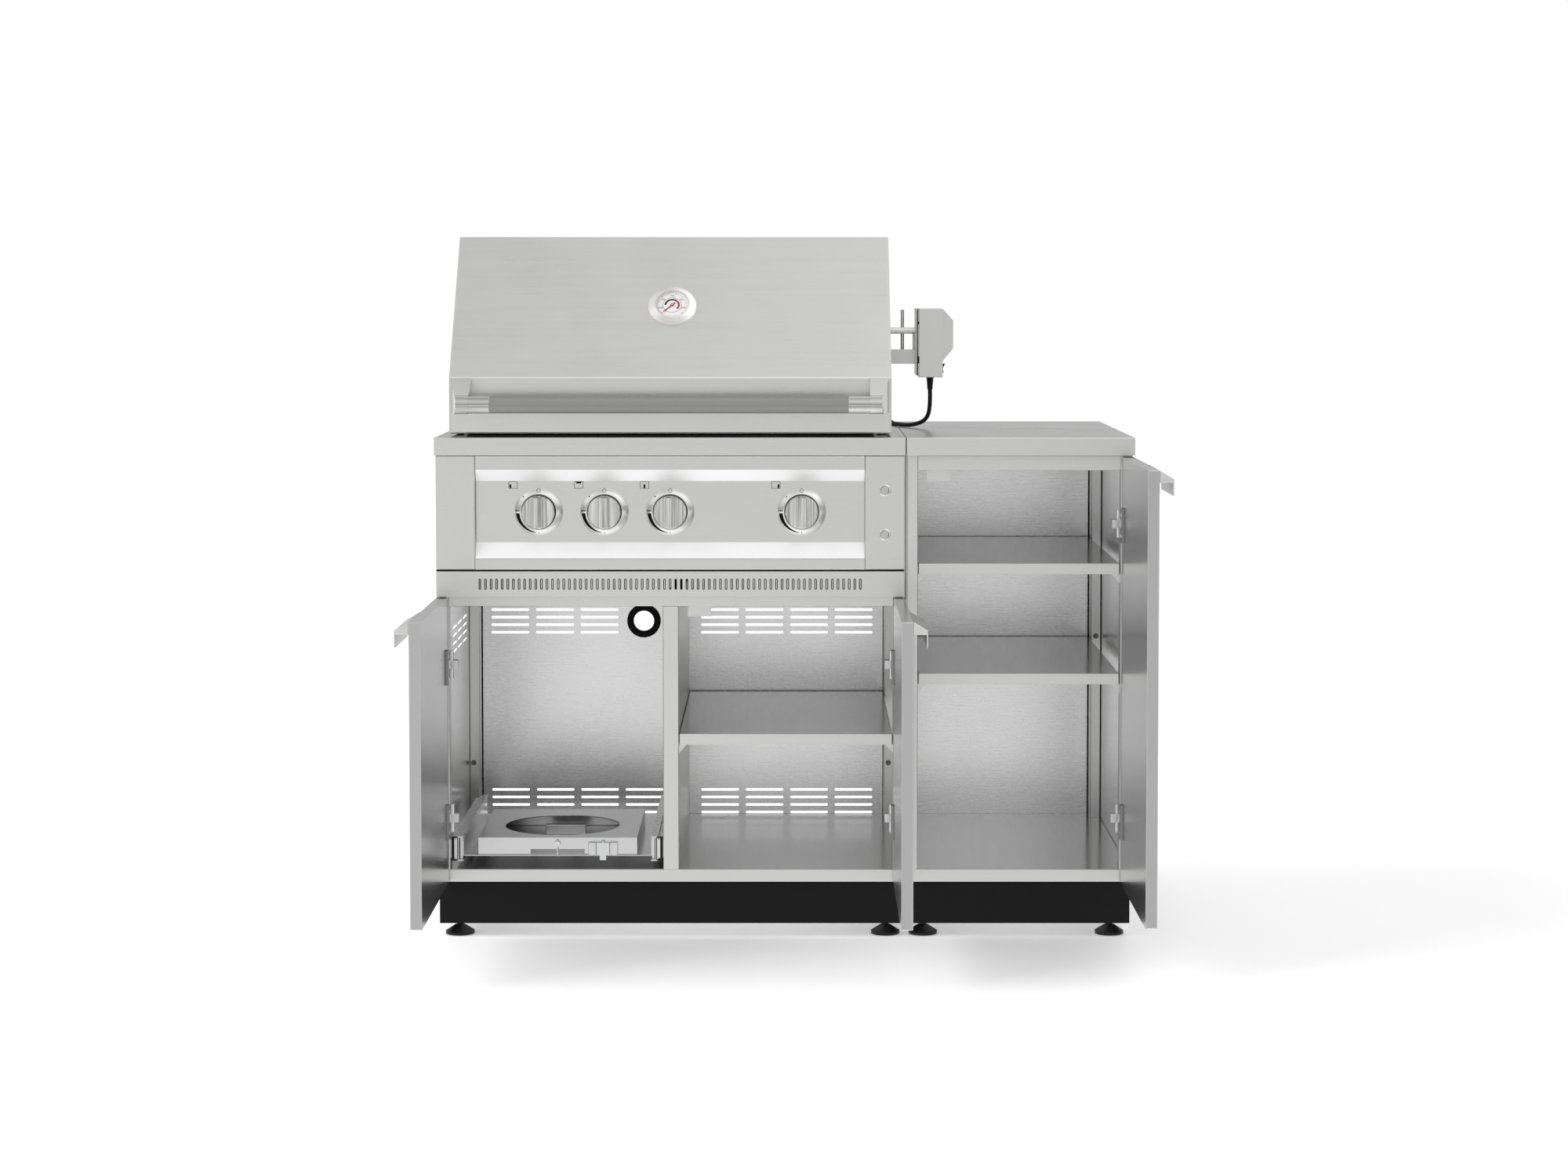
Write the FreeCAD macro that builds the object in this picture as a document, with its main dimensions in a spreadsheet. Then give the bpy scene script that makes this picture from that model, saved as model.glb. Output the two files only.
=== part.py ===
import FreeCAD, Part
import math
import os
import Sketcher

# Outdoor kitchen island: a gas grill module beside a storage module.
# Millimetres. +Z is up and -Y is the side that the cook stands at.
# The origin is on the ground, under the middle of the island with its doors open.

SIZES = {
    # worktops
    "left_width": 838.0,
    "right_width": 406.0,
    "module_gap": 1.0,
    "worktop_depth": 637.0,
    "worktop_height": 902.0,
    "worktop_thick": 32.0,
    "worktop_sheet": 1.5,
    # cabinets
    "outer_inset": 2.0,
    "seam_inset": 0.5,
    "frame_setback": 25.0,
    "rear_overhang": 24.0,
    "sheet": 1.2,
    "post_width": 21.0,
    "front_post_depth": 30.0,
    "rear_post_depth": 40.0,
    "rear_post_gap": 7.0,
    "floor_thick": 22.5,
    "divider_width": 28.0,
    "header_bottom": 599.0,
    "header_height": 19.5,
    "top_rail_height": 28.0,
    "rail_depth": 20.0,
    "catch_width": 42.0,
    "catch_height": 20.0,
    "catch_sheet": 1.5,
    "catch_offset": 16.0,
    # shelves
    "shelf_thick": 19.5,
    "shelf_gap": 1.0,
    "shelf_back_gap": 12.0,
    "left_shelf_top": 370.0,
    "right_upper_shelf_top": 676.0,
    "right_lower_shelf_top": 478.5,
    "clip_reach": 15.0,
    "clip_depth": 14.0,
    "clip_height": 17.0,
    "clip_sheet": 1.5,
    "clip_inset": 8.0,
    # plinth and feet
    "foot_height": 25.0,
    "plinth_height": 78.0,
    "plinth_setback": 39.0,
    "plinth_rear_gap": 13.0,
    "plinth_sheet": 1.5,
    "foot_radius": 26.0,
    "foot_rim": 5.0,
    "foot_dish_height": 16.0,
    "foot_neck_radius": 9.0,
    "foot_stem_radius": 6.0,
    "foot_inset": 33.0,
    "foot_front": 75.0,
    "foot_rear": 560.0,
    # vents and cable grommet
    "vent_length": 74.5,
    "vent_height": 5.0,
    "vent_pitch_across": 88.0,
    "vent_pitch_down": 15.0,
    "upper_vent_height": 531.0,
    "lower_vent_height": 173.3,
    "left_vent_margin": 19.5,
    "right_vent_margin": 23.3,
    "side_vent_start": 270.0,
    "grommet_from_divider": 61.4,
    "grommet_height": 509.0,
    "grommet_bore": 20.0,
    "grommet_neck": 26.7,
    "grommet_hole": 27.0,
    "grommet_flange": 33.0,
    "grommet_lip": 3.4,
    # fascia
    "fascia_front": 1.5,
    "fascia_gap": 0.4,
    "fascia_sheet": 1.5,
    "panel_width": 692.0,
    "panel_drop": 203.0,
    "panel_joint": 0.5,
    "panel_recess": 14.0,
    "panel_top_lip": 24.6,
    "panel_top_slope": 21.0,
    "panel_bottom_lip": 20.0,
    "panel_bottom_slope": 28.0,
    "filler_side_inset": 2.5,
    "filler_seam_inset": 2.5,
    "vent_panel_gap": 2.6,
    "vent_panel_height": 46.0,
    "front_slot_pitch": 9.95,
    "front_slot_width": 4.5,
    "front_slot_height": 19.6,
    # knobs and buttons
    "knob_pitch": 117.0,
    "bezel_radius": 43.0,
    "bezel_bore": 31.0,
    "bezel_height": 8.0,
    "knob_radius": 29.7,
    "knob_skirt": 19.0,
    "knob_lift": 1.5,
    "grip_width": 16.7,
    "grip_height": 14.0,
    "spindle_radius": 4.0,
    "running_gap": 0.05,
    "spindle_hole": 8.0,
    "spindle_end_gap": 0.5,
    "button_radius": 7.4,
    "button_bezel_radius": 10.5,
    "button_bezel_height": 1.6,
    "button_proud": 2.6,
    "button_length": 16.0,
    "upper_button_height": 808.3,
    "lower_button_height": 729.4,
    # gas train and burners
    "valve_width": 26.0,
    "valve_front": 27.0,
    "valve_back": 60.0,
    "valve_height": 30.0,
    "spindle_depth": 12.0,
    "manifold_radius": 11.0,
    "manifold_drop": 18.0,
    "manifold_overhang": 40.0,
    "burner_radius": 19.0,
    "burner_neck_radius": 11.0,
    "burner_wall": 1.5,
    "burner_length": 395.0,
    "burner_neck": 45.0,
    "burner_shoulder": 12.0,
    # firebox
    "firebox_half_width": 370.0,
    "firebox_front": 75.0,
    "firebox_rear": 478.0,
    "firebox_bottom": 715.0,
    "firebox_sheet": 1.5,
    "flange_half_width": 386.0,
    "flange_front": 34.0,
    "flange_rear": 514.0,
    "flange_thick": 2.0,
    "cutout_gap": 3.0,
    "ledge_width": 12.0,
    "ledge_thick": 2.0,
    "tamer_ledge": 820.0,
    "grate_ledge": 878.0,
    "grease_slot_length": 260.0,
    "grease_slot_width": 90.0,
    "grease_tray_length": 320.0,
    "grease_tray_width": 150.0,
    "grease_tray_height": 22.0,
    "runner_thick": 1.5,
    "seat_gap": 0.3,
    "tamer_width": 112.0,
    "tamer_rise": 28.0,
    "tamer_sheet": 1.5,
    "tamer_end_gap": 4.0,
    "grate_gap": 2.0,
    "grate_rod_radius": 3.5,
    "grate_bar_width": 8.0,
    "grate_bar_height": 8.0,
    "grate_weld": 1.0,
    # fixed walls under the lid
    "upstand_half_width": 381.0,
    "upstand_thick": 3.0,
    "upstand_foot": 200.0,
    "upstand_top": 1150.0,
    "back_wall_gap": 4.0,
    "back_wall_thick": 1.5,
    "ear_radius": 18.0,
    "spit_shelf_half": 38.0,
    "spit_shelf_above": 17.0,
    "rear_burner_half_width": 190.0,
    "rear_burner_bottom": 1035.0,
    "rear_burner_height": 80.0,
    "rear_burner_depth": 22.0,
    "rear_burner_wall": 2.0,
    "rear_burner_tile": 8.0,
    # lid
    "lid_half_width": 394.0,
    "lid_front": 27.0,
    "lid_rear": 520.0,
    "lid_bottom": 907.5,
    "lid_bend": 1007.0,
    "lid_top": 1260.0,
    "lid_crest": 225.0,
    "lid_crown_rear": 400.0,
    "lid_shoulder": 1140.0,
    "lid_back_bottom": 975.0,
    "lid_corner_height": 940.0,
    "lid_corner_depth": 33.0,
    "lid_sheet": 2.0,
    "lid_hem": 12.0,
    "lid_hinge_depth": 492.0,
    "lid_hinge_height": 955.0,
    "lid_pin_radius": 6.0,
    "lid_pin_overrun": 2.0,
    "rest_radius": 5.0,
    "rest_inset": 30.0,
    # lid handle
    "handle_depth": -32.0,
    "handle_height": 961.5,
    "handle_radius": 15.5,
    "handle_wall": 1.5,
    "handle_cap_radius": 16.5,
    "handle_half_length": 375.0,
    "handle_bracket_inner": 354.2,
    "handle_root_outer": 390.0,
    "handle_spigot": 10.0,
    # thermometer
    "dial_bezel_radius": 43.5,
    "dial_radius": 30.0,
    "dial_rim": 31.5,
    "dial_height": 9.0,
    "dial_depth": 5.0,
    "probe_radius": 4.0,
    "probe_length": 60.0,
    "probe_hole": 4.5,
    "dial_post_radius": 1.5,
    "dial_post_height": 2.2,
    "needle_lift": 0.6,
    "needle_thick": 0.8,
    "needle_length": 22.0,
    "needle_tail": 7.0,
    "needle_width": 2.4,
    "needle_hub": 3.2,
    # spit and its motor
    "spit_depth": 300.0,
    "spit_height": 1087.0,
    "spit_radius": 6.35,
    "spit_end_gap": 5.0,
    "spit_notch_gap": 0.3,
    "spit_socket": 26.0,
    "fork_reach": 55.0,
    "fork_length": 70.0,
    "fork_tine_radius": 2.3,
    "fork_bar_half": 2.6,
    "fork_collar_radius": 13.0,
    "fork_collar_width": 18.0,
    "fork_spacing": 340.0,
    "slot_margin": 3.0,
    "arm_top": 1051.7,
    "arm_bottom": 1025.4,
    "arm_half_depth": 15.0,
    "arm_sheet": 2.5,
    "mount_plate_left": 243.0,
    "mount_plate_thick": 3.0,
    "mount_plate_bottom": 1004.7,
    "mount_plate_top": 1128.7,
    "mount_plate_half_depth": 32.0,
    "gusset_width": 4.3,
    "gusset_height": 35.0,
    "guide_rod_x": 219.6,
    "guide_rod_radius": 3.3,
    "guide_rod_top": 1125.8,
    "cover_thick": 3.0,
    "cover_inset": 3.0,
    "housing_width": 44.0,
    "housing_half_depth": 38.0,
    "housing_top": 1128.2,
    "housing_bottom": 1000.6,
    "housing_wall": 2.0,
    "nose_width": 20.0,
    "nose_slant": 15.0,
    "nose_bevel": 22.0,
    "nose_bottom": 1031.0,
    "nose_bottom_bevel": 23.0,
    "gear_motor_half_depth": 25.0,
    "gear_motor_bottom": 1045.0,
    "gear_motor_top": 1120.0,
    "gear_motor_length": 29.0,
    "switch_height": 1016.7,
    "switch_half_length": 8.5,
    "switch_half_width": 6.5,
    "switch_root": 3.4,
    "switch_low_end": 4.2,
    "switch_middle": 2.6,
    "switch_high_end": 7.2,
    "switch_window_gap": 1.5,
    "switch_peg_radius": 1.6,
    # power cord
    "cord_diameter": 8.0,
    "relief_flange_radius": 7.0,
    "relief_flange": 3.0,
    "relief_root_radius": 6.2,
    "relief_tip_radius": 4.6,
    "relief_length": 24.0,
    "relief_x": 271.0,
    "coil_outer_radius": 50.0,
    "coil_pitch": 9.0,
    "coil_layer_step": 8.5,
    "coil_x": 60.0,
    "coil_depth": 582.0,
    "plug_length": 42.0,
    "plug_width": 26.0,
    "plug_nose": 8.0,
    "plug_sleeve": 30.0,
    "plug_sleeve_wall": 1.0,
    "plug_sleeve_root": 2.5,
    "blade_width": 6.4,
    "blade_thick": 1.6,
    "blade_length": 17.0,
    "blade_spacing": 12.7,
    # doors
    "door_thick": 20.0,
    "door_skin": 1.2,
    "door_gap": 1.0,
    "door_side_gap": 1.0,
    "meeting_gap": 4.0,
    "door_bottom": 102.0,
    "left_door_top": 616.0,
    "right_door_top": 867.0,
    "pivot_inset": 10.0,
    "edge_relief": 7.0,
    "upper_hinge": 493.4,
    "right_upper_hinge": 746.3,
    "lower_hinge": 216.6,
    "notch_height": 17.0,
    "notch_rear": 19.0,
    "notch_skin": 3.5,
    "eye_radius": 5.5,
    "eye_height": 9.0,
    "hinge_pin_radius": 3.0,
    "lug_thick": 3.0,
    "lug_gap": 0.4,
    "leaf_length": 20.0,
    "leaf_setback": 14.0,
    "leaf_thick": 5.0,
    "leaf_height": 62.0,
    "block_width": 14.5,
    "block_depth": 17.0,
    "block_height": 15.0,
    "block_setback": 6.0,
    "barrel_radius": 3.5,
    "barrel_height": 50.0,
    "pull_length": 168.0,
    "pull_reach": 24.0,
    "pull_fall": 14.3,
    "pull_lip": 42.5,
    "pull_sheet": 2.5,
    "pull_gusset_drop": 21.0,
    # tank tray
    "rail_standoff": 10.0,
    "rail_width": 12.7,
    "rail_height": 45.0,
    "rail_sheet": 1.5,
    "rail_centre_height": 161.0,
    "rail_front": 35.0,
    "rail_length": 450.0,
    "rail_play": 0.4,
    "middle_offset": 3.0,
    "middle_width": 9.2,
    "inner_offset": 6.0,
    "inner_width": 5.0,
    "standoff_height": 34.0,
    "tray_sheet": 1.5,
    "tray_base_drop": 14.0,
    "tray_side_height": 29.0,
    "tray_front": 40.0,
    "tray_length": 440.0,
    "platform_width": 287.5,
    "platform_length": 300.0,
    "platform_height": 31.0,
    "platform_front": 45.0,
    "bottle_hole_radius": 105.0,
    "bottle_hole_depth": 129.0,
    "platform_notch_width": 97.0,
    "platform_notch_height": 9.6,
    "stop_block_width": 75.0,
    "stop_block_depth": 15.0,
    "stop_block_height": 18.0,
    "stop_block_place": 205.0,
    "latch_offset": 82.0,
    "latch_width": 24.0,
    "latch_cheek": 14.0,
    "latch_height": 23.0,
    "latch_depth": 9.0,
    "latch_gap": 0.5,
    "latch_tongue_width": 12.0,
    "latch_tongue_drop": 9.0,
    "latch_knob_radius": 3.0,
    "latch_knob_height": 2.5,
    "screw_radius": 3.0,
    "screw_hub_radius": 5.0,
    "screw_hub_length": 9.0,
    "screw_pin_radius": 1.6,
    "screw_pin_length": 24.0,
    "screw_pin_rise": 7.0,
    "screw_shank": 20.0,
}

VENT_ROWS = 4
VENT_COLUMNS = 4
GROMMET_COLUMNS = 3
SIDE_VENT_COLUMNS = 3
FRONT_SLOTS = 69
GRATE_PANELS = 3
GRATE_RODS = 15
BURNER_STEPS = (-2, 0, 2)
KNOB_STEPS = {
    "knob_left_burner": -2,
    "knob_rear_burner": -1,
    "knob_centre_burner": 0,
    "knob_right_burner": 2,
}
COIL_TURNS = 2
CLIMB_TURNS = 0.5
EVEN_SPACING = -1.0
NEEDLE_AT_REST = FreeCAD.Rotation(FreeCAD.Vector(0, 0, 1), 135)

doc = FreeCAD.newDocument("kitchen_island")
sheet = doc.addObject("Spreadsheet::Sheet", "Sizes")
for row, (name, value) in enumerate(SIZES.items(), start=1):
    sheet.set(f"A{row}", name)
    sheet.set(f"B{row}", str(value))
    sheet.setAlias(f"B{row}", name)
doc.recompute()


class Size:
    """A length or a place, written as an expression on the sheet's cells."""

    def __init__(self, text):
        self.text = str(text)

    def __str__(self):
        return self.text

    def __add__(self, other):
        return Size(f"({self} + {other})")

    def __radd__(self, other):
        return Size(f"({other} + {self})")

    def __sub__(self, other):
        return Size(f"({self} - {other})")

    def __rsub__(self, other):
        return Size(f"({other} - {self})")

    def __mul__(self, other):
        return Size(f"({self} * {other})")

    __rmul__ = __mul__

    def __truediv__(self, other):
        return Size(f"({self} / {other})")

    def __neg__(self):
        return Size(f"(0 - {self})")


class Sheet:
    """Gives each size of the sheet by its name."""

    def __getattr__(self, name):
        if name not in SIZES:
            raise AttributeError(name)
        return Size(f"Sizes.{name}")


S = Sheet()
parts = []


def mm(size):
    """The number that a size stands for."""
    if not isinstance(size, Size):
        return float(size)
    found = sheet.evalExpression(size.text)
    return float(getattr(found, "Value", found))


# Placements that turn a piece made along its own Z, or drawn in its own XY plane

ALONG_Z = FreeCAD.Rotation()
ALONG_X = FreeCAD.Rotation(FreeCAD.Vector(0, 1, 0), 90)
ALONG_Y = FreeCAD.Rotation(FreeCAD.Vector(1, 0, 0), -90)
TO_FRONT = FreeCAD.Rotation(FreeCAD.Vector(1, 0, 0), 90)
DRAWN_YZ = FreeCAD.Rotation(FreeCAD.Vector(1, 1, 1), 120)
DRAWN_XZ = FreeCAD.Rotation(FreeCAD.Vector(1, 0, 0), 90)
DRAWN_UPRIGHT = DRAWN_XZ.multiply(FreeCAD.Rotation(FreeCAD.Vector(0, 0, 1), 90))


def place(feature, x, y, z, turn=ALONG_Z):
    feature.Placement = FreeCAD.Placement(FreeCAD.Vector(), turn)
    for axis, size in (("x", x), ("y", y), ("z", z)):
        feature.setExpression(f"Placement.Base.{axis}", str(size))
    return feature


def box(x, y, z):
    """A block between two places on each axis."""
    feature = doc.addObject("Part::Box", "Block")
    for side, (low, high) in (("Length", x), ("Width", y), ("Height", z)):
        feature.setExpression(side, str(Size(high) - low))
    return place(feature, x[0], y[0], z[0])


def rod(axis, x, y, z, radius):
    """A cylinder; the place along its axis is a pair."""
    feature = doc.addObject("Part::Cylinder", "Rod")
    span = {"x": x, "y": y, "z": z}[axis]
    feature.setExpression("Radius", str(radius))
    feature.setExpression("Height", str(Size(span[1]) - span[0]))
    start = {"x": x, "y": y, "z": z, axis: span[0]}
    turn = {"x": ALONG_X, "y": ALONG_Y, "z": ALONG_Z}[axis]
    return place(feature, start["x"], start["y"], start["z"], turn)


def cut(base, *tools):
    feature = doc.addObject("Part::Cut", "Cut")
    feature.Base = base
    feature.Tool = tools[0] if len(tools) == 1 else fused(*tools)
    return feature


def fused(*pieces):
    feature = doc.addObject("Part::MultiFuse", "Weld")
    feature.Shapes = list(pieces)
    return feature


def common(first, second):
    feature = doc.addObject("Part::MultiCommon", "Overlap")
    feature.Shapes = [first, second]
    return feature


def group(*pieces):
    """Several separate solids that go under one name."""
    feature = doc.addObject("Part::Compound", "Group")
    feature.Links = list(pieces)
    return feature


def ordered(first, second, sign):
    """Two places in rising order, when sign says which way they run."""
    return (first, second) if sign > 0 else (second, first)


def tube_box(x, y, z, wall, open_axis):
    """A hollow block with two open ends."""
    inner = {"x": x, "y": y, "z": z}
    for axis, span in inner.items():
        if axis != open_axis:
            inner[axis] = (Size(span[0]) + wall, Size(span[1]) - wall)
    return cut(box(x, y, z), box(inner["x"], inner["y"], inner["z"]))


def pan(x, y, z, wall, open_side):
    """A folded tray: a block hollowed out from one side, named as -x, +y and so on."""
    inner = {}
    for axis, span in (("x", x), ("y", y), ("z", z)):
        low = Size(span[0]) + wall
        high = Size(span[1]) - wall
        if open_side == "-" + axis:
            low = span[0]
        if open_side == "+" + axis:
            high = span[1]
        inner[axis] = (low, high)
    return cut(box(x, y, z), box(inner["x"], inner["y"], inner["z"]))


def empty_sketch(body, plane_role):
    """A sketch on one of the body's own planes."""
    sketch = body.newObject("Sketcher::SketchObject", "Outline")
    plane = [item for item in body.Origin.OriginFeatures if item.Role == plane_role][0]
    sketch.AttachmentSupport = [(plane, "")]
    sketch.MapMode = "FlatFace"
    return sketch


def sketch_in(body, plane_role, points):
    """A closed outline whose corners are bound to sizes."""
    sketch = empty_sketch(body, plane_role)
    corners = [FreeCAD.Vector(mm(across), mm(up), 0) for across, up in points]
    count = len(corners)
    sides = [Part.LineSegment(corners[i], corners[(i + 1) % count]) for i in range(count)]
    sketch.addGeometry(sides)
    sketch.addConstraint(
        [Sketcher.Constraint("Coincident", i, 2, (i + 1) % count, 1) for i in range(count)]
    )
    for index, (across, up) in enumerate(points):
        for kind, size in (("DistanceX", across), ("DistanceY", up)):
            rule = sketch.addConstraint(Sketcher.Constraint(kind, -1, 1, index, 1, mm(size)))
            sketch.setExpression(f"Constraints[{rule}]", str(size))
    return sketch


def profile(points, span, drawn):
    """A drawn outline, in YZ or XZ or XY, extruded between two places on the third axis."""
    body = doc.addObject("PartDesign::Body", "Folded")
    sketch = sketch_in(body, "XY_Plane", points)
    pad = body.newObject("PartDesign::Pad", "Extrusion")
    pad.Profile = sketch
    pad.setExpression("Length", str(Size(span[1]) - span[0]))
    if drawn == "yz":
        return place(body, span[0], 0, 0, DRAWN_YZ)
    if drawn == "xz":
        return place(body, 0, span[1], 0, DRAWN_XZ)
    return place(body, 0, 0, span[0])


def turned(points, x, y, z, turn=ALONG_Z):
    """A profile of radius and height, spun about the piece's own Z."""
    body = doc.addObject("PartDesign::Body", "Turned")
    sketch = sketch_in(body, "XZ_Plane", points)
    spin = body.newObject("PartDesign::Revolution", "Spin")
    spin.Profile = sketch
    spin.ReferenceAxis = (sketch, ["V_Axis"])
    spin.Angle = 360
    return place(body, x, y, z, turn)


def part(label, feature):
    """Names a finished sub-part; the label is also its file's name."""
    feature.Label = label
    parts.append(feature)
    return feature


# Main places

left_edge = -(S.left_width + S.module_gap + S.right_width) / 2
left_seam = left_edge + S.left_width
right_seam = left_seam + S.module_gap
right_edge = right_seam + S.right_width
grill_x = left_edge + S.left_width / 2
left_door_width = (S.left_width - 2 * S.door_side_gap - S.meeting_gap) / 2
right_door_width = S.right_width - 2 * S.door_side_gap
pivot_depth = S.frame_setback - S.door_gap - S.door_thick + S.pivot_inset
door_reach = left_door_width - pivot_depth - S.pivot_inset
front = (door_reach - S.worktop_depth) / 2


def deep(depth):
    """The place on Y that lies a depth behind the worktop's front edge."""
    return front + depth


def both(low, high):
    """A pair of depths behind the worktop's front edge."""
    return (deep(low), deep(high))


worktop_under = S.worktop_height - S.worktop_thick
frame_y = deep(S.frame_setback)
carcass_rear = S.worktop_depth - S.rear_overhang
back_inner = carcass_rear - S.sheet
carcass_bottom = S.foot_height + S.plinth_height
floor_top = carcass_bottom + S.floor_thick
carcasses = {
    "left": (left_edge + S.outer_inset, left_seam - S.seam_inset),
    "right": (right_seam + S.seam_inset, right_edge - S.outer_inset),
}
header_top = S.header_bottom + S.header_height
divider = (grill_x - S.divider_width / 2, grill_x + S.divider_width / 2)
rear_post_rear = back_inner - S.rear_post_gap
rear_post_front = rear_post_rear - S.rear_post_depth


def opening(side):
    """The width of a cabinet between its posts."""
    low, high = carcasses[side]
    return (low + S.post_width, high - S.post_width)


# Worktops: folded steel trays turned upside down, the left one cut out for the grill

def make_worktops():
    height = (worktop_under, S.worktop_height)
    depth = both(0, S.worktop_depth)
    left = pan((left_edge, left_seam), depth, height, S.worktop_sheet, "-z")
    half = S.firebox_half_width + S.cutout_gap
    hole = box(
        (grill_x - half, grill_x + half),
        both(S.firebox_front - S.cutout_gap, S.firebox_rear + S.cutout_gap),
        height,
    )
    part("left_worktop", cut(left, hole))
    part("right_worktop", pan((right_seam, right_edge), depth, height, S.worktop_sheet, "-z"))


# Vents: rows of slots with round ends, pressed into the sheet

def slot_outline(body, length, height):
    """A round-ended slot about the origin, bound to its length and height."""
    sketch = empty_sketch(body, "XY_Plane")
    radius = mm(height) / 2
    half = mm(length) / 2 - radius
    right = FreeCAD.Vector(half, 0, 0)
    rise = FreeCAD.Vector(0, radius, 0)
    up = FreeCAD.Vector(0, 0, 1)
    quarter = math.pi / 2
    sketch.addGeometry([
        Part.LineSegment(-right - rise, right - rise),
        Part.ArcOfCircle(Part.Circle(right, up, radius), -quarter, quarter),
        Part.LineSegment(right + rise, rise - right),
        Part.ArcOfCircle(Part.Circle(-right, up, radius), quarter, 3 * quarter),
    ])
    rules = [Sketcher.Constraint("Tangent", i, 2, (i + 1) % 4, 1) for i in range(4)]
    rules.append(Sketcher.Constraint("Horizontal", 0))
    rules.append(Sketcher.Constraint("PointOnObject", 1, 3, -1))
    sketch.addConstraint(rules)
    inset = (length - height) / 2
    bound = (
        (("Radius", 1, radius), height / 2),
        (("DistanceX", -1, 1, 1, 3, half), inset),
        (("DistanceX", 3, 3, -1, 1, half), inset),
    )
    for rule, size in bound:
        index = sketch.addConstraint(Sketcher.Constraint(*rule))
        sketch.setExpression(f"Constraints[{index}]", str(size))
    return sketch


def slot_grid(length, height, columns, rows, depth):
    """Slots in columns and rows, each given as a count and a pitch, drawn about the first one."""
    body = doc.addObject("PartDesign::Body", "Slots")
    sketch = slot_outline(body, Size(length), Size(height))
    pad = body.newObject("PartDesign::Pad", "Slot")
    pad.Profile = sketch
    pad.setExpression("Length", str(depth))
    pattern = body.newObject("PartDesign::LinearPattern", "Grid")
    pattern.Originals = [pad]
    pattern.Direction = (sketch, ["H_Axis"])
    pattern.Mode = "Spacing"
    pattern.Occurrences = columns[0]
    pattern.setExpression("Offset", str(columns[1]))
    if rows[0] > 1:
        pattern.Direction2 = (sketch, ["V_Axis"])
        pattern.Mode2 = "Spacing"
        pattern.Reversed2 = True
        pattern.Occurrences2 = rows[0]
        pattern.setExpression("Offset2", str(rows[1]))
        pattern.Spacings2 = [EVEN_SPACING] * (rows[0] - 1)
    body.Tip = pattern
    return body


def vent(start, top, columns, rows, drawn, through):
    """A grid of vent slots whose first one begins at a place on the panel."""
    grid = slot_grid(
        S.vent_length, S.vent_height, (columns, S.vent_pitch_across),
        (rows, S.vent_pitch_down), through[1] - through[0],
    )
    centre = start + S.vent_length / 2
    if drawn == "yz":
        return place(grid, through[0], centre, top, DRAWN_YZ)
    return place(grid, centre, through[1], top, DRAWN_XZ)


# Side panels: one sheet on each side of each cabinet

def make_side_panels():
    skins = []
    height = (carcass_bottom, worktop_under)
    for side in ("left", "right"):
        low, high = carcasses[side]
        for edge in ((low, low + S.sheet), (high - S.sheet, high)):
            skins.append(box(edge, (frame_y, deep(back_inner)), height))
    low = carcasses["left"][0]
    vents = vent(deep(S.side_vent_start), S.upper_vent_height, SIDE_VENT_COLUMNS, VENT_ROWS, "yz",
                 (low, low + S.sheet))
    skins[0] = cut(skins[0], vents)
    part("side_panels", group(*skins))


# Posts: folded tubes inside the side panels, two at the front and two at the back

def make_frame_posts():
    posts = []
    front_depth = (frame_y, frame_y + S.front_post_depth)
    rear_depth = both(rear_post_front, rear_post_rear)
    for side in ("left", "right"):
        low, high = carcasses[side]
        for edge in ((low + S.sheet, low + S.post_width), (high - S.post_width, high - S.sheet)):
            for depth in (front_depth, rear_depth):
                posts.append(tube_box(edge, depth, (floor_top, worktop_under), S.sheet, "z"))
    part("frame_posts", group(*posts))


# Rails: the header under the vent panel, the top rails, and their magnet catches

def catch_plate(left, top):
    """A folded plate that hangs from a rail and holds the door's magnet."""
    across = (left, left + S.catch_width)
    hanging = box(across, (frame_y + S.catch_offset, frame_y + S.catch_offset + S.catch_sheet),
                  (Size(top) - S.catch_height, top))
    lip = box(across, (frame_y + S.catch_offset - S.catch_sheet, frame_y + S.catch_offset),
              (Size(top) - S.catch_sheet, top))
    return fused(hanging, lip)


def make_frame_rails():
    depth = (frame_y, frame_y + S.rail_depth)
    left_low, left_high = opening("left")
    right_low, right_high = opening("right")
    rail_bottom = worktop_under - S.top_rail_height
    header = tube_box((left_low, left_high), depth, (S.header_bottom, header_top), S.sheet, "x")
    top_rail = tube_box((right_low, right_high), depth, (rail_bottom, worktop_under), S.sheet, "x")
    rear_depth = (deep(back_inner) - S.rail_depth, deep(back_inner))
    rear_rails = [
        tube_box((low + S.post_width, high - S.post_width), rear_depth,
                 (rail_bottom, worktop_under), S.sheet, "x")
        for low, high in carcasses.values()
    ]
    left_catch = catch_plate(divider[1] + S.catch_offset, S.header_bottom)
    right_catch = catch_plate(right_low + S.catch_offset, rail_bottom)
    part("frame_rails", group(header, top_rail, *rear_rails, left_catch, right_catch))


# Divider: a double-skinned wall between the bottle bay and the shelf bay

def make_centre_divider():
    wall = tube_box(divider, (frame_y, deep(back_inner)), (floor_top, S.header_bottom), S.sheet, "z")
    part("centre_divider", wall)


# Floors: folded trays whose front edge is the bottom rail

def make_cabinet_floors():
    floors = []
    for low, high in carcasses.values():
        across = (low + S.sheet, high - S.sheet)
        depth = (frame_y, deep(back_inner))
        floors.append(pan(across, depth, (carcass_bottom, floor_top), S.sheet, "-z"))
    part("cabinet_floors", group(*floors))


# Back panels: the left one has vents and the hole for the gas hose

grommet_x = divider[0] - S.grommet_from_divider


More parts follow.
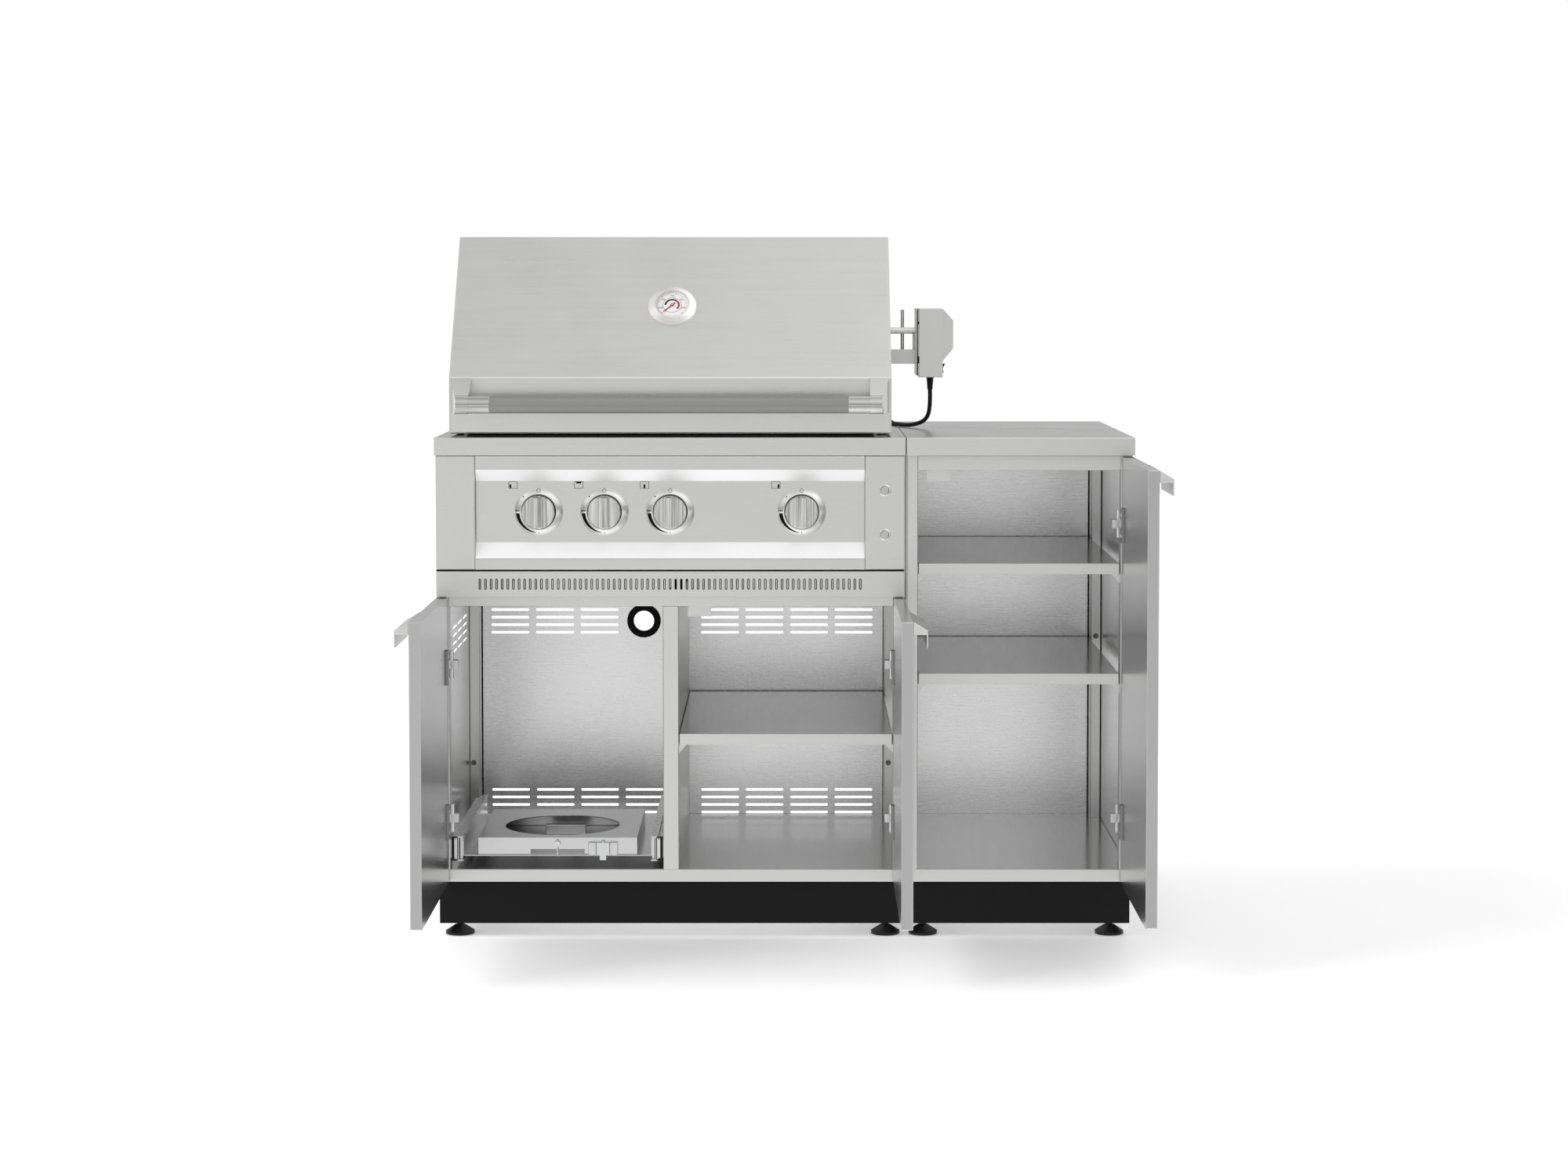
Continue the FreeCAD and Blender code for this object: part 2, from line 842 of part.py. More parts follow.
def make_back_panels():
    panels = []
    height = (carcass_bottom, worktop_under)
    through = both(back_inner, carcass_rear)
    for low, high in carcasses.values():
        panels.append(box((low, high), through, height))
    bay_left = opening("left")[0] + S.left_vent_margin
    bay_right = divider[1] + S.right_vent_margin
    upper = S.upper_vent_height
    lower = S.lower_vent_height
    grids = group(
        vent(bay_left, upper, GROMMET_COLUMNS, VENT_ROWS, "xz", through),
        vent(bay_right, upper, VENT_COLUMNS, VENT_ROWS, "xz", through),
        vent(bay_left, lower, VENT_COLUMNS, VENT_ROWS, "xz", through),
        vent(bay_right, lower, VENT_COLUMNS, VENT_ROWS, "xz", through),
    )
    hole = rod("y", grommet_x, through, S.grommet_height, S.grommet_hole)
    part("back_panels", group(cut(cut(panels[0], hole), grids), panels[1]))


def make_cable_grommet():
    """A rubber ring that snaps into the back panel."""
    inner = Size(0) - S.grommet_lip
    outer = S.sheet + S.grommet_lip
    ring = [
        (S.grommet_bore, inner), (S.grommet_flange, inner), (S.grommet_flange, 0),
        (S.grommet_neck, 0), (S.grommet_neck, S.sheet), (S.grommet_flange, S.sheet),
        (S.grommet_flange, outer), (S.grommet_bore, outer),
    ]
    part("cable_grommet", turned(ring, grommet_x, deep(back_inner), S.grommet_height, ALONG_Y))


# Shelves: folded trays that stand on small brackets screwed to the posts

def shelf_places():
    """Each shelf as its opening and its top."""
    left_low, left_high = opening("left")
    return [
        ((divider[1], left_high), S.left_shelf_top),
        (opening("right"), S.right_upper_shelf_top),
        (opening("right"), S.right_lower_shelf_top),
    ]


def shelf_clip(post, sign, start, under):
    """A folded bracket: a flange on the post, a ledge under the shelf and a web between them."""
    reach = Size(post) + sign * S.clip_reach
    depth = (start, start + S.clip_depth)
    web = profile([(post, under), (reach, under), (post, under - S.clip_height)],
                  (start, start + S.clip_sheet), "xz")
    ledge = box(ordered(post, reach, sign), depth, (under - S.clip_sheet, under))
    flange = box(ordered(post, Size(post) + sign * S.clip_sheet, sign), depth,
                 (under - S.clip_height, under))
    return fused(web, ledge, flange)


def make_shelves():
    shelves = []
    clips = []
    front_clip = frame_y + S.clip_inset
    rear_clip = deep(rear_post_front) + S.clip_inset
    for (low, high), top in shelf_places():
        across = (Size(low) + S.shelf_gap, Size(high) - S.shelf_gap)
        depth = (frame_y, deep(back_inner - S.shelf_back_gap))
        under = top - S.shelf_thick
        shelves.append(pan(across, depth, (under, top), S.sheet, "-z"))
        for start in (front_clip, rear_clip):
            clips.append(shelf_clip(low, 1, start, under))
            clips.append(shelf_clip(high, -1, start, under))
    part("shelves", group(*shelves))
    part("shelf_clips", group(*clips))


# Plinths and feet: black skirts round the base, with screw feet inside them

def make_plinths():
    """Four plates round each cabinet's base."""
    plates = []
    wall = S.plinth_sheet
    height = (S.foot_height, carcass_bottom)
    front_y, rear_y = both(S.plinth_setback, carcass_rear - S.plinth_rear_gap)
    for low, high in carcasses.values():
        for depth in ((front_y, front_y + wall), (rear_y - wall, rear_y)):
            plates.append(box((low, high), depth, height))
        for edge in ((low, low + wall), (high - wall, high)):
            plates.append(box(edge, (front_y + wall, rear_y - wall), height))
    part("plinths", group(*plates))


def make_levelling_feet():
    stem_top = floor_top - S.sheet
    outline = [
        (0, 0), (S.foot_radius, 0), (S.foot_radius, S.foot_rim),
        (S.foot_neck_radius, S.foot_dish_height),
        (S.foot_stem_radius, S.foot_dish_height), (S.foot_stem_radius, stem_top), (0, stem_top),
    ]
    feet = []
    for low, high in carcasses.values():
        for x in (low + S.foot_inset, high - S.foot_inset):
            for depth in (S.foot_front, S.foot_rear):
                feet.append(turned(outline, x, deep(depth), 0))
    part("levelling_feet", group(*feet))


# Fascia: the grill's control panel between two fillers, above a slotted vent panel

panel_x = (grill_x - S.panel_width / 2, grill_x + S.panel_width / 2)
fascia_top = worktop_under - S.fascia_gap
fascia_bottom = fascia_top - S.panel_drop
fascia_y = deep(S.fascia_front)
recess_y = fascia_y + S.panel_recess
slope_top = fascia_top - S.panel_top_lip
face_top = slope_top - S.panel_top_slope
slope_bottom = fascia_bottom + S.panel_bottom_lip
face_bottom = slope_bottom + S.panel_bottom_slope
knob_z = (face_top + face_bottom) / 2
filler_left = (left_edge + S.filler_side_inset, panel_x[0] - S.panel_joint)
filler_right = (panel_x[1] + S.panel_joint, left_seam - S.filler_seam_inset)
button_x = (filler_right[0] + filler_right[1]) / 2


def knob_x(step):
    return grill_x + step * S.knob_pitch


def make_control_panel():
    """One sheet folded to a trough, with a return at the top and the bottom."""
    line = [
        (fascia_y, fascia_top), (fascia_y, slope_top), (recess_y, face_top),
        (recess_y, face_bottom), (fascia_y, slope_bottom), (fascia_y, fascia_bottom),
    ]
    back = [(y + S.fascia_sheet, z) for y, z in reversed(line)]
    trough = profile(line + back, panel_x, "yz")
    depth = (fascia_y, frame_y)
    top = box(panel_x, depth, (fascia_top - S.fascia_sheet, fascia_top))
    bottom = box(panel_x, depth, (fascia_bottom, fascia_bottom + S.fascia_sheet))
    sheet_depth = (recess_y, recess_y + S.fascia_sheet)
    holes = [rod("y", knob_x(step), sheet_depth, knob_z, S.spindle_hole)
             for step in KNOB_STEPS.values()]
    part("control_panel", cut(fused(trough, top, bottom), group(*holes)))


def make_side_fillers():
    depth = (fascia_y, frame_y)
    height = (fascia_bottom, fascia_top)
    left = pan(filler_left, depth, height, S.fascia_sheet, "+y")
    right = pan(filler_right, depth, height, S.fascia_sheet, "+y")
    sheet_depth = (fascia_y, fascia_y + S.fascia_sheet)
    holes = [rod("y", button_x, sheet_depth, z, S.button_radius + S.running_gap)
             for z in (S.upper_button_height, S.lower_button_height)]
    part("side_fillers", group(left, cut(right, group(*holes))))


def make_vent_panel():
    top = fascia_bottom - S.vent_panel_gap
    across = (filler_left[0], filler_right[1])
    face = pan(across, (fascia_y, frame_y), (top - S.vent_panel_height, top), S.fascia_sheet, "+y")
    slots = slot_grid(
        S.front_slot_height, S.front_slot_width, (1, S.front_slot_pitch),
        (FRONT_SLOTS, S.front_slot_pitch), S.fascia_sheet,
    )
    first_x = grill_x - (FRONT_SLOTS - 1) / 2 * S.front_slot_pitch
    place(slots, first_x, fascia_y + S.fascia_sheet, top - S.vent_panel_height / 2, DRAWN_UPRIGHT)
    part("vent_panel", cut(face, slots))


# Knobs, buttons and their bezels

def make_control_bezels():
    cone = [
        (S.bezel_bore, 0), (S.bezel_radius, 0), (S.bezel_radius, S.fascia_sheet),
        (S.bezel_bore + S.running_gap + S.fascia_sheet, S.bezel_height),
        (S.bezel_bore, S.bezel_height),
    ]
    rings = [turned(cone, knob_x(step), recess_y, knob_z, TO_FRONT) for step in KNOB_STEPS.values()]
    bore = S.button_radius + S.running_gap
    washer = [
        (bore, 0), (S.button_bezel_radius, 0),
        (S.button_bezel_radius - S.button_bezel_height, S.button_bezel_height),
        (bore, S.button_bezel_height),
    ]
    for z in (S.upper_button_height, S.lower_button_height):
        rings.append(turned(washer, button_x, fascia_y, z, TO_FRONT))
    part("control_bezels", group(*rings))


def make_knob(label, step):
    """A turned steel knob with a raised grip, on the valve's spindle."""
    top = S.knob_lift + S.knob_skirt
    edge = S.fascia_sheet
    reach = S.valve_front + S.spindle_depth - S.spindle_end_gap - S.fascia_front - S.panel_recess
    outline = [
        (0, -reach), (S.spindle_radius, -reach), (S.spindle_radius, S.knob_lift),
        (S.knob_radius, S.knob_lift), (S.knob_radius, top - edge), (S.knob_radius - edge, top),
        (0, top),
    ]
    x = knob_x(step)
    body = turned(outline, x, recess_y, knob_z, TO_FRONT)
    half = S.knob_radius - 2 * edge
    face_y = recess_y - top
    grip = box(
        (x - S.grip_width / 2, x + S.grip_width / 2),
        (face_y - S.grip_height, face_y + edge),
        (knob_z - half, knob_z + half),
    )
    part(label, fused(body, grip))


def make_button(label, z):
    """A sprung push button that runs in its bezel."""
    dome = S.button_bezel_height / 2
    outline = [
        (0, -S.button_length), (S.button_radius, -S.button_length),
        (S.button_radius, S.button_proud - dome), (S.button_radius - dome, S.button_proud),
        (0, S.button_proud),
    ]
    part(label, turned(outline, button_x, fascia_y, z, TO_FRONT))


# Gas train: one pipe with four valves, behind the control panel

pipe_z = knob_z - S.manifold_drop


def make_gas_manifold():
    depth = both(S.valve_front, S.valve_back)
    half = S.valve_width / 2
    pipe_y = deep((S.valve_front + S.valve_back) / 2)
    ends = (knob_x(min(KNOB_STEPS.values())) - S.manifold_overhang,
            knob_x(max(KNOB_STEPS.values())) + S.manifold_overhang)
    pieces = [rod("x", ends, pipe_y, pipe_z, S.manifold_radius)]
    bores = []
    for step in KNOB_STEPS.values():
        x = knob_x(step)
        pieces.append(box((x - half, x + half), depth, (pipe_z, knob_z + S.valve_height / 2)))
        bores.append(rod("y", x, both(S.valve_front, S.valve_front + S.spindle_depth), knob_z,
                         S.spindle_radius + S.running_gap))
    neck = S.burner_neck_radius - S.burner_wall
    for step in BURNER_STEPS:
        jet = both(S.valve_back, S.valve_back + S.valve_width / 2)
        pieces.append(rod("y", knob_x(step), jet, knob_z, neck - S.seat_gap))
    part("gas_manifold", cut(fused(*pieces), group(*bores)))


def make_main_burners():
    """Three steel tubes, closed at the back, each fed through a narrow neck."""
    neck_inner = S.burner_neck_radius - S.burner_wall
    inner = S.burner_radius - S.burner_wall
    shoulder = S.burner_neck + S.burner_shoulder
    outline = [
        (neck_inner, 0), (S.burner_neck_radius, 0), (S.burner_neck_radius, S.burner_neck),
        (S.burner_radius, shoulder), (S.burner_radius, S.burner_length), (0, S.burner_length),
        (0, S.burner_length - S.burner_wall), (inner, S.burner_length - S.burner_wall),
        (inner, shoulder), (neck_inner, S.burner_neck),
    ]
    start = deep(S.valve_back + S.seat_gap)
    tubes = [turned(outline, knob_x(step), start, knob_z, ALONG_Y) for step in BURNER_STEPS]
    part("main_burners", group(*tubes))


# Firebox: a steel tub that hangs in the worktop by its flange

firebox_x = (grill_x - S.firebox_half_width, grill_x + S.firebox_half_width)
flange_x = (grill_x - S.flange_half_width, grill_x + S.flange_half_width)
flange_top = S.worktop_height + S.flange_thick
hearth = (S.firebox_front + S.firebox_sheet, S.firebox_rear - S.firebox_sheet)
hearth_x = (firebox_x[0] + S.firebox_sheet, firebox_x[1] - S.firebox_sheet)
tray_centre = (S.firebox_front + S.firebox_rear) / 2


def make_firebox():
    tub = pan(firebox_x, both(S.firebox_front, S.firebox_rear), (S.firebox_bottom, flange_top),
              S.firebox_sheet, "+z")
    flange = box(flange_x, both(S.flange_front, S.flange_rear), (S.worktop_height, flange_top))
    rim = cut(flange, box(firebox_x, both(S.firebox_front, S.firebox_rear),
                          (S.worktop_height, flange_top)))
    ledges = []
    for top in (S.tamer_ledge, S.grate_ledge):
        height = (top - S.ledge_thick, top)
        ledges.append(box(hearth_x, both(hearth[0], hearth[0] + S.ledge_width), height))
        ledges.append(box(hearth_x, both(hearth[1] - S.ledge_width, hearth[1]), height))
    burner_end = S.valve_back + S.seat_gap + S.burner_length
    saddle_top = knob_z - S.burner_radius - S.seat_gap
    saddle = box(hearth_x, both(burner_end - S.ledge_width, burner_end),
                 (saddle_top - S.ledge_thick, saddle_top))
    rests = []
    for x in (grill_x - S.lid_half_width + S.rest_inset, grill_x + S.lid_half_width - S.rest_inset):
        rests.append(rod("z", x, deep(S.flange_front + S.rest_radius),
                         (S.worktop_height, S.lid_bottom - S.seat_gap), S.rest_radius))
    half_length = S.grease_tray_length / 2
    runner_z = S.firebox_bottom - S.grease_tray_height - S.runner_thick - S.seat_gap
    runners = []
    for sign in (-1, 1):
        edge = grill_x + sign * (half_length + S.seat_gap)
        outer = edge + sign * S.runner_thick
        lip = edge - sign * S.ledge_width
        depth = both(tray_centre - S.grease_tray_width / 2, tray_centre + S.grease_tray_width / 2)
        wall = (edge, outer) if sign > 0 else (outer, edge)
        foot = (lip, outer) if sign > 0 else (outer, lip)
        runners.append(box(wall, depth, (runner_z, S.firebox_bottom)))
        runners.append(box(foot, depth, (runner_z, runner_z + S.runner_thick)))
    body = fused(tub, rim, saddle, *ledges, *rests, *runners)
    half_slot = S.grease_slot_length / 2
    slot = box(
        (grill_x - half_slot, grill_x + half_slot),
        both(tray_centre - S.grease_slot_width / 2, tray_centre + S.grease_slot_width / 2),
        (S.firebox_bottom, S.firebox_bottom + S.firebox_sheet),
    )
    wall = both(S.firebox_front, S.firebox_front + S.firebox_sheet)
    ports = [rod("y", knob_x(step), wall, knob_z, S.burner_neck_radius + S.seat_gap)
             for step in BURNER_STEPS]
    part("firebox", cut(body, slot, *ports))


def make_grease_tray():
    """A shallow tray that slides in runners under the firebox."""
    half = S.grease_tray_length / 2
    bottom = S.firebox_bottom - S.grease_tray_height - S.seat_gap
    depth = both(tray_centre - S.grease_tray_width / 2, tray_centre + S.grease_tray_width / 2)
    tray = pan((grill_x - half, grill_x + half), depth, (bottom, bottom + S.grease_tray_height),
               S.firebox_sheet, "+z")
    part("grease_tray", tray)


def make_flame_tamers():
    """Folded steel roofs over the burners, which stand on ledges."""
    depth = both(hearth[0] + S.tamer_end_gap, hearth[1] - S.tamer_end_gap)
    half = S.tamer_width / 2
    base = S.tamer_ledge
    peak = base + S.tamer_rise
    roofs = []
    for step in BURNER_STEPS:
        x = knob_x(step)
        outline = [
            (x - half, base), (x, peak), (x + half, base),
            (x + half - 2 * S.tamer_sheet, base), (x, peak - S.tamer_sheet),
            (x - half + 2 * S.tamer_sheet, base),
        ]
        roofs.append(profile(outline, depth, "xz"))
    part("flame_tamers", group(*roofs))


def make_cooking_grates():
    """Three grates of steel rods welded on cross bars."""
    width = (2 * S.firebox_half_width - 2 * S.firebox_sheet - (GRATE_PANELS + 1) * S.grate_gap)
    width = width / GRATE_PANELS
    depth = both(hearth[0] + S.grate_gap, hearth[1] - S.grate_gap)
    bar_top = S.grate_ledge + S.grate_bar_height
    rod_z = bar_top + S.grate_rod_radius - S.grate_weld
    bar_starts = (depth[0], (depth[0] + depth[1]) / 2, depth[1] - S.grate_bar_width)
    grates = []
    for panel in range(GRATE_PANELS):
        low = hearth_x[0] + S.grate_gap + panel * (width + S.grate_gap)
        high = low + width
        pieces = [box((low, high), (start, start + S.grate_bar_width), (S.grate_ledge, bar_top))
                  for start in bar_starts]
        pitch = (width - 2 * S.grate_rod_radius) / (GRATE_RODS - 1)
        for index in range(GRATE_RODS):
            x = low + S.grate_rod_radius + index * pitch
            pieces.append(rod("y", x, depth, rod_z, S.grate_rod_radius))
        grates.append(fused(*pieces))
    part("cooking_grates", group(*grates))


# Fixed walls under the lid: two side plates that carry the lid's pins and the spit,
# and a back wall that carries the rear burner

hinge_y = deep(S.lid_hinge_depth)
hinge_z = S.lid_hinge_height
spit_y = deep(S.spit_depth)
back_wall = (S.firebox_rear + S.back_wall_gap, S.firebox_rear + S.back_wall_gap + S.back_wall_thick)


def make_grill_upstand():
    shelf = S.spit_height + S.spit_shelf_above
    outline = [
        (deep(S.upstand_foot), flange_top),
        (deep(S.spit_depth - S.spit_shelf_half), shelf),
        (deep(S.spit_depth + S.spit_shelf_half), shelf),
        (deep(back_wall[1] - 2 * S.spit_shelf_half), S.upstand_top),
        (deep(back_wall[1]), S.upstand_top),
        (deep(back_wall[1]), hinge_z + 2 * S.ear_radius),
        (hinge_y + S.ear_radius / 2, hinge_z + S.ear_radius),
        (hinge_y + S.ear_radius, hinge_z),
        (hinge_y + S.ear_radius / 2, hinge_z - S.ear_radius),
        (hinge_y + S.ear_radius / 2, flange_top),
    ]
    plates = []
    for sign in (-1, 1):
        outer = grill_x + sign * S.upstand_half_width
        inner = outer - sign * S.upstand_thick
        span = (inner, outer) if sign > 0 else (outer, inner)
        plate = profile(outline, span, "yz")
        pin_hole = rod("x", span, hinge_y, hinge_z, S.lid_pin_radius + S.running_gap)
        seat = S.spit_radius + S.spit_notch_gap
        round_end = rod("x", span, spit_y, S.spit_height, seat)
        notch = box(span, (spit_y - seat, spit_y + seat), (S.spit_height, shelf))
        plates.append(cut(plate, pin_hole, round_end, notch))
    inside = S.upstand_half_width - S.upstand_thick
    wall = box((grill_x - inside, grill_x + inside), both(*back_wall), (flange_top, S.upstand_top))
    part("grill_upstand", group(*plates, wall))


def make_rear_burner():
    """An infrared burner: a steel case with a ceramic tile set into its front."""
    half = S.rear_burner_half_width
    across = (grill_x - half, grill_x + half)
    height = (S.rear_burner_bottom, S.rear_burner_bottom + S.rear_burner_height)
    rear = back_wall[0]
    depth = both(rear - S.rear_burner_depth, rear)
    case = pan(across, depth, height, S.rear_burner_wall, "-y")
    wall = S.rear_burner_wall
    tile = box(
        (across[0] + wall, across[1] - wall),
        both(rear - S.rear_burner_tile - wall, rear - wall),
        (height[0] + wall, height[1] - wall),
    )
    part("rear_burner", group(case, tile))


# Lid: a folded shell between two end panels, on pins at the back

lid_inside = S.lid_half_width - S.lid_sheet
lid_outline = [
    (deep(S.lid_front), S.lid_bottom), (deep(S.lid_front), S.lid_bend),
    (deep(S.lid_crest), S.lid_top), (deep(S.lid_crown_rear), S.lid_top),
    (deep(S.lid_rear), S.lid_shoulder), (deep(S.lid_rear), S.lid_back_bottom),
]
lid_lining = [
    (deep(S.lid_front) + S.lid_sheet, S.lid_bottom), (deep(S.lid_front) + S.lid_sheet, S.lid_bend),
    (deep(S.lid_crest) + S.lid_sheet, S.lid_top - S.lid_sheet),
    (deep(S.lid_crown_rear) - S.lid_sheet, S.lid_top - S.lid_sheet),
    (deep(S.lid_rear) - S.lid_sheet, S.lid_shoulder - S.lid_sheet),
    (deep(S.lid_rear) - S.lid_sheet, S.lid_back_bottom),
]
lid_slope = f"atan2({S.lid_top - S.lid_bend}; {S.lid_crest - S.lid_front})"
dial_y = deep((S.lid_front + S.lid_crest) / 2)
dial_z = (S.lid_bend + S.lid_top) / 2


def on_slope(feature):
    """Turns a piece made along Z square to the lid's sloping front."""
    feature.Placement = FreeCAD.Placement(FreeCAD.Vector(), TO_FRONT)
    feature.setExpression("Placement.Rotation.Angle", lid_slope)
    for axis, size in (("x", grill_x), ("y", dial_y), ("z", dial_z)):
        feature.setExpression(f"Placement.Base.{axis}", str(size))
    return feature


def make_lid_shell():
    across = (grill_x - lid_inside, grill_x + lid_inside)
    shell = profile(lid_outline + list(reversed(lid_lining)), across, "yz")
    hem_y = deep(S.lid_front) + S.lid_sheet
    hem = box(across, (hem_y, hem_y + S.lid_hem), (S.lid_bottom, S.lid_bottom + S.lid_sheet))
    hole = doc.addObject("Part::Cylinder", "Probe_hole")
    hole.setExpression("Radius", str(S.probe_hole))
    hole.setExpression("Height", str(S.probe_length))
    on_slope(hole)
    sunk = S.probe_length / 2
    hole.setExpression("Placement.Base.y", f"{dial_y} + sin({lid_slope}) * {sunk}")
    hole.setExpression("Placement.Base.z", f"{dial_z} - cos({lid_slope}) * {sunk}")
    part("lid_shell", cut(fused(shell, hem), hole))


def make_lid_end_panels():
    """The right end panel has a curved slot that lets the lid swing past the spit."""
    outline = lid_outline + [
        (deep(S.lid_rear), S.lid_corner_height),
        (deep(S.lid_rear - S.lid_corner_depth), S.lid_bottom),
    ]
    ends = []
    for sign in (-1, 1):
        inner = grill_x + sign * lid_inside
        outer = grill_x + sign * S.lid_half_width
        tip = grill_x + sign * (S.upstand_half_width - S.upstand_thick - S.lid_pin_overrun)
        span = (inner, outer) if sign > 0 else (outer, inner)
        pin_span = (tip, inner) if sign > 0 else (inner, tip)
        plate = profile(outline, span, "yz")
        pin = rod("x", pin_span, hinge_y, hinge_z, S.lid_pin_radius)
        if sign > 0:
            plate = cut(plate, swing_slot(span))
        ends.append(fused(plate, pin))
    part("lid_end_panels", group(*ends))


def swing_slot(span):
    """The path of the spit and its bracket past the lid, as a ring about the lid's pins."""
    back = S.lid_hinge_depth - S.spit_depth
    rise = S.spit_height - S.lid_hinge_height
    outer = Size(f"sqrt({back * back + rise * rise})") + S.spit_radius + S.slot_margin
    arm_back = back - S.arm_half_depth
    arm_rise = S.arm_bottom - S.lid_hinge_height
    inner = Size(f"sqrt({arm_back * arm_back + arm_rise * arm_rise})") - S.slot_margin
    ring = cut(rod("x", span, hinge_y, hinge_z, outer), rod("x", span, hinge_y, hinge_z, inner))
    reach = box(
        span,
        (deep(S.lid_front), spit_y + S.arm_half_depth + S.slot_margin),
        (S.lid_bottom - S.lid_hem, S.spit_height + S.spit_radius + S.slot_margin),
    )
    return common(ring, reach)


# Lid handle: a steel tube between two wedge-shaped brackets

handle_y = deep(S.handle_depth)


def make_lid_handle():
    tube_end = S.handle_bracket_inner + S.handle_spigot
    span = (grill_x - tube_end, grill_x + tube_end)
    outer = rod("x", span, handle_y, S.handle_height, S.handle_radius)
    bore = rod("x", span, handle_y, S.handle_height, S.handle_radius - S.handle_wall)
    part("lid_handle_bar", cut(outer, bore))
    root = deep(S.lid_front)
    brackets = []
    for sign in (-1, 1):
        inner = grill_x + sign * S.handle_bracket_inner
        outer_root = grill_x + sign * S.handle_root_outer
        outer_tip = grill_x + sign * S.handle_half_length
        plan = [(inner, handle_y - S.handle_cap_radius), (outer_tip, handle_y - S.handle_cap_radius),
                (outer_root, root), (inner, root)]
        height = (S.handle_height - S.handle_cap_radius, S.lid_bend)
        wedge_plan = profile(plan, height, "xy")
        side = [
            (handle_y, S.handle_height - S.handle_cap_radius),
            (root, S.handle_height - S.handle_cap_radius),
            (root, S.lid_bend),
            (handle_y, S.handle_height + S.handle_cap_radius),
        ]
        wide = (inner, outer_root) if sign > 0 else (outer_root, inner)
        arm = profile(side, wide, "yz")
        boss = rod("x", wide, handle_y, S.handle_height, S.handle_cap_radius)
        socket_end = grill_x + sign * tube_end
        socket = (inner, socket_end) if sign > 0 else (socket_end, inner)
        hole = rod("x", socket, handle_y, S.handle_height, S.handle_radius)
        brackets.append(cut(common(fused(arm, boss), wedge_plan), hole))
    part("lid_handle_brackets", group(*brackets))


# Thermometer: a conical steel case with a probe, and a needle on a post

def make_thermometer():
    floor = S.dial_height - S.dial_depth
    post = floor + S.dial_post_height
    case = [
        (0, -S.probe_length), (S.probe_radius, -S.probe_length), (S.probe_radius, 0),
        (S.dial_bezel_radius, 0), (S.dial_bezel_radius, S.fascia_sheet),
        (S.dial_rim, S.dial_height), (S.dial_radius, S.dial_height), (S.dial_radius, floor),
        (S.dial_post_radius, floor), (S.dial_post_radius, post), (0, post),
    ]
    part("thermometer_case", on_slope(turned(case, 0, 0, 0)))
    low = floor + S.needle_lift
    high = low + S.needle_thick
    bore = S.dial_post_radius + S.running_gap
    pointer = profile(
        [(-S.needle_width / 2, -S.needle_tail), (S.needle_width / 2, -S.needle_tail),
         (S.needle_width / 4, S.needle_length), (-S.needle_width / 4, S.needle_length)],
        (low, high), "xy")
    place(pointer, 0, 0, low, NEEDLE_AT_REST)
    hub = rod("z", 0, 0, (low, high), S.needle_hub)
    hole = rod("z", 0, 0, (low, high), bore)
    part("thermometer_needle", on_slope(cut(fused(pointer, hub), hole)))


# Spit: a steel rod with two forks, driven by a motor outside the lid

spit_left = grill_x - S.upstand_half_width - S.spit_end_gap
cover_x = (S.mount_plate_left + S.mount_plate_thick,
           S.mount_plate_left + S.mount_plate_thick + S.cover_thick)
housing_x = (cover_x[1], cover_x[1] + S.housing_width)
housing_z = (S.housing_bottom, S.housing_top)
housing_y = (spit_y - S.housing_half_depth, spit_y + S.housing_half_depth)
gear_motor_x = (housing_x[1] - S.housing_wall - S.gear_motor_length, housing_x[1] - S.housing_wall)
spit_right = gear_motor_x[0] + S.spit_socket


def fork(x, sign):
    """A collar with tines, clamped on the rod and pointing along it."""
    half = S.fork_collar_width / 2
    collar = cut(rod("x", (x - half, x + half), spit_y, S.spit_height, S.fork_collar_radius),
                 rod("x", (x - half, x + half), spit_y, S.spit_height, S.spit_radius))
    tip = x + sign * (S.fork_length + half)
    base = x + sign * half
    arm_edge = base - sign * 2 * S.fork_bar_half
    arm_x = (arm_edge, base) if sign > 0 else (base, arm_edge)
    tine_x = (arm_edge, tip) if sign > 0 else (tip, arm_edge)
    half_bar = S.fork_bar_half
    pieces = [collar]
    for side in (-1, 1):
        far = spit_y + side * S.fork_reach
        near = spit_y + side * (S.fork_collar_radius - half_bar)
        span = (near, far) if side > 0 else (far, near)
        pieces.append(box(arm_x, span, (S.spit_height - half_bar, S.spit_height + half_bar)))
        for tine_y in (far - side * half_bar, near + side * 3 * half_bar):
            pieces.append(rod("x", tine_x, tine_y, S.spit_height, S.fork_tine_radius))
    return fused(*pieces)


def make_spit():
    shaft = rod("x", (spit_left, spit_right), spit_y, S.spit_height, S.spit_radius)
    half = S.fork_spacing / 2
    part("spit", group(shaft, fork(grill_x - half, 1), fork(grill_x + half, -1)))


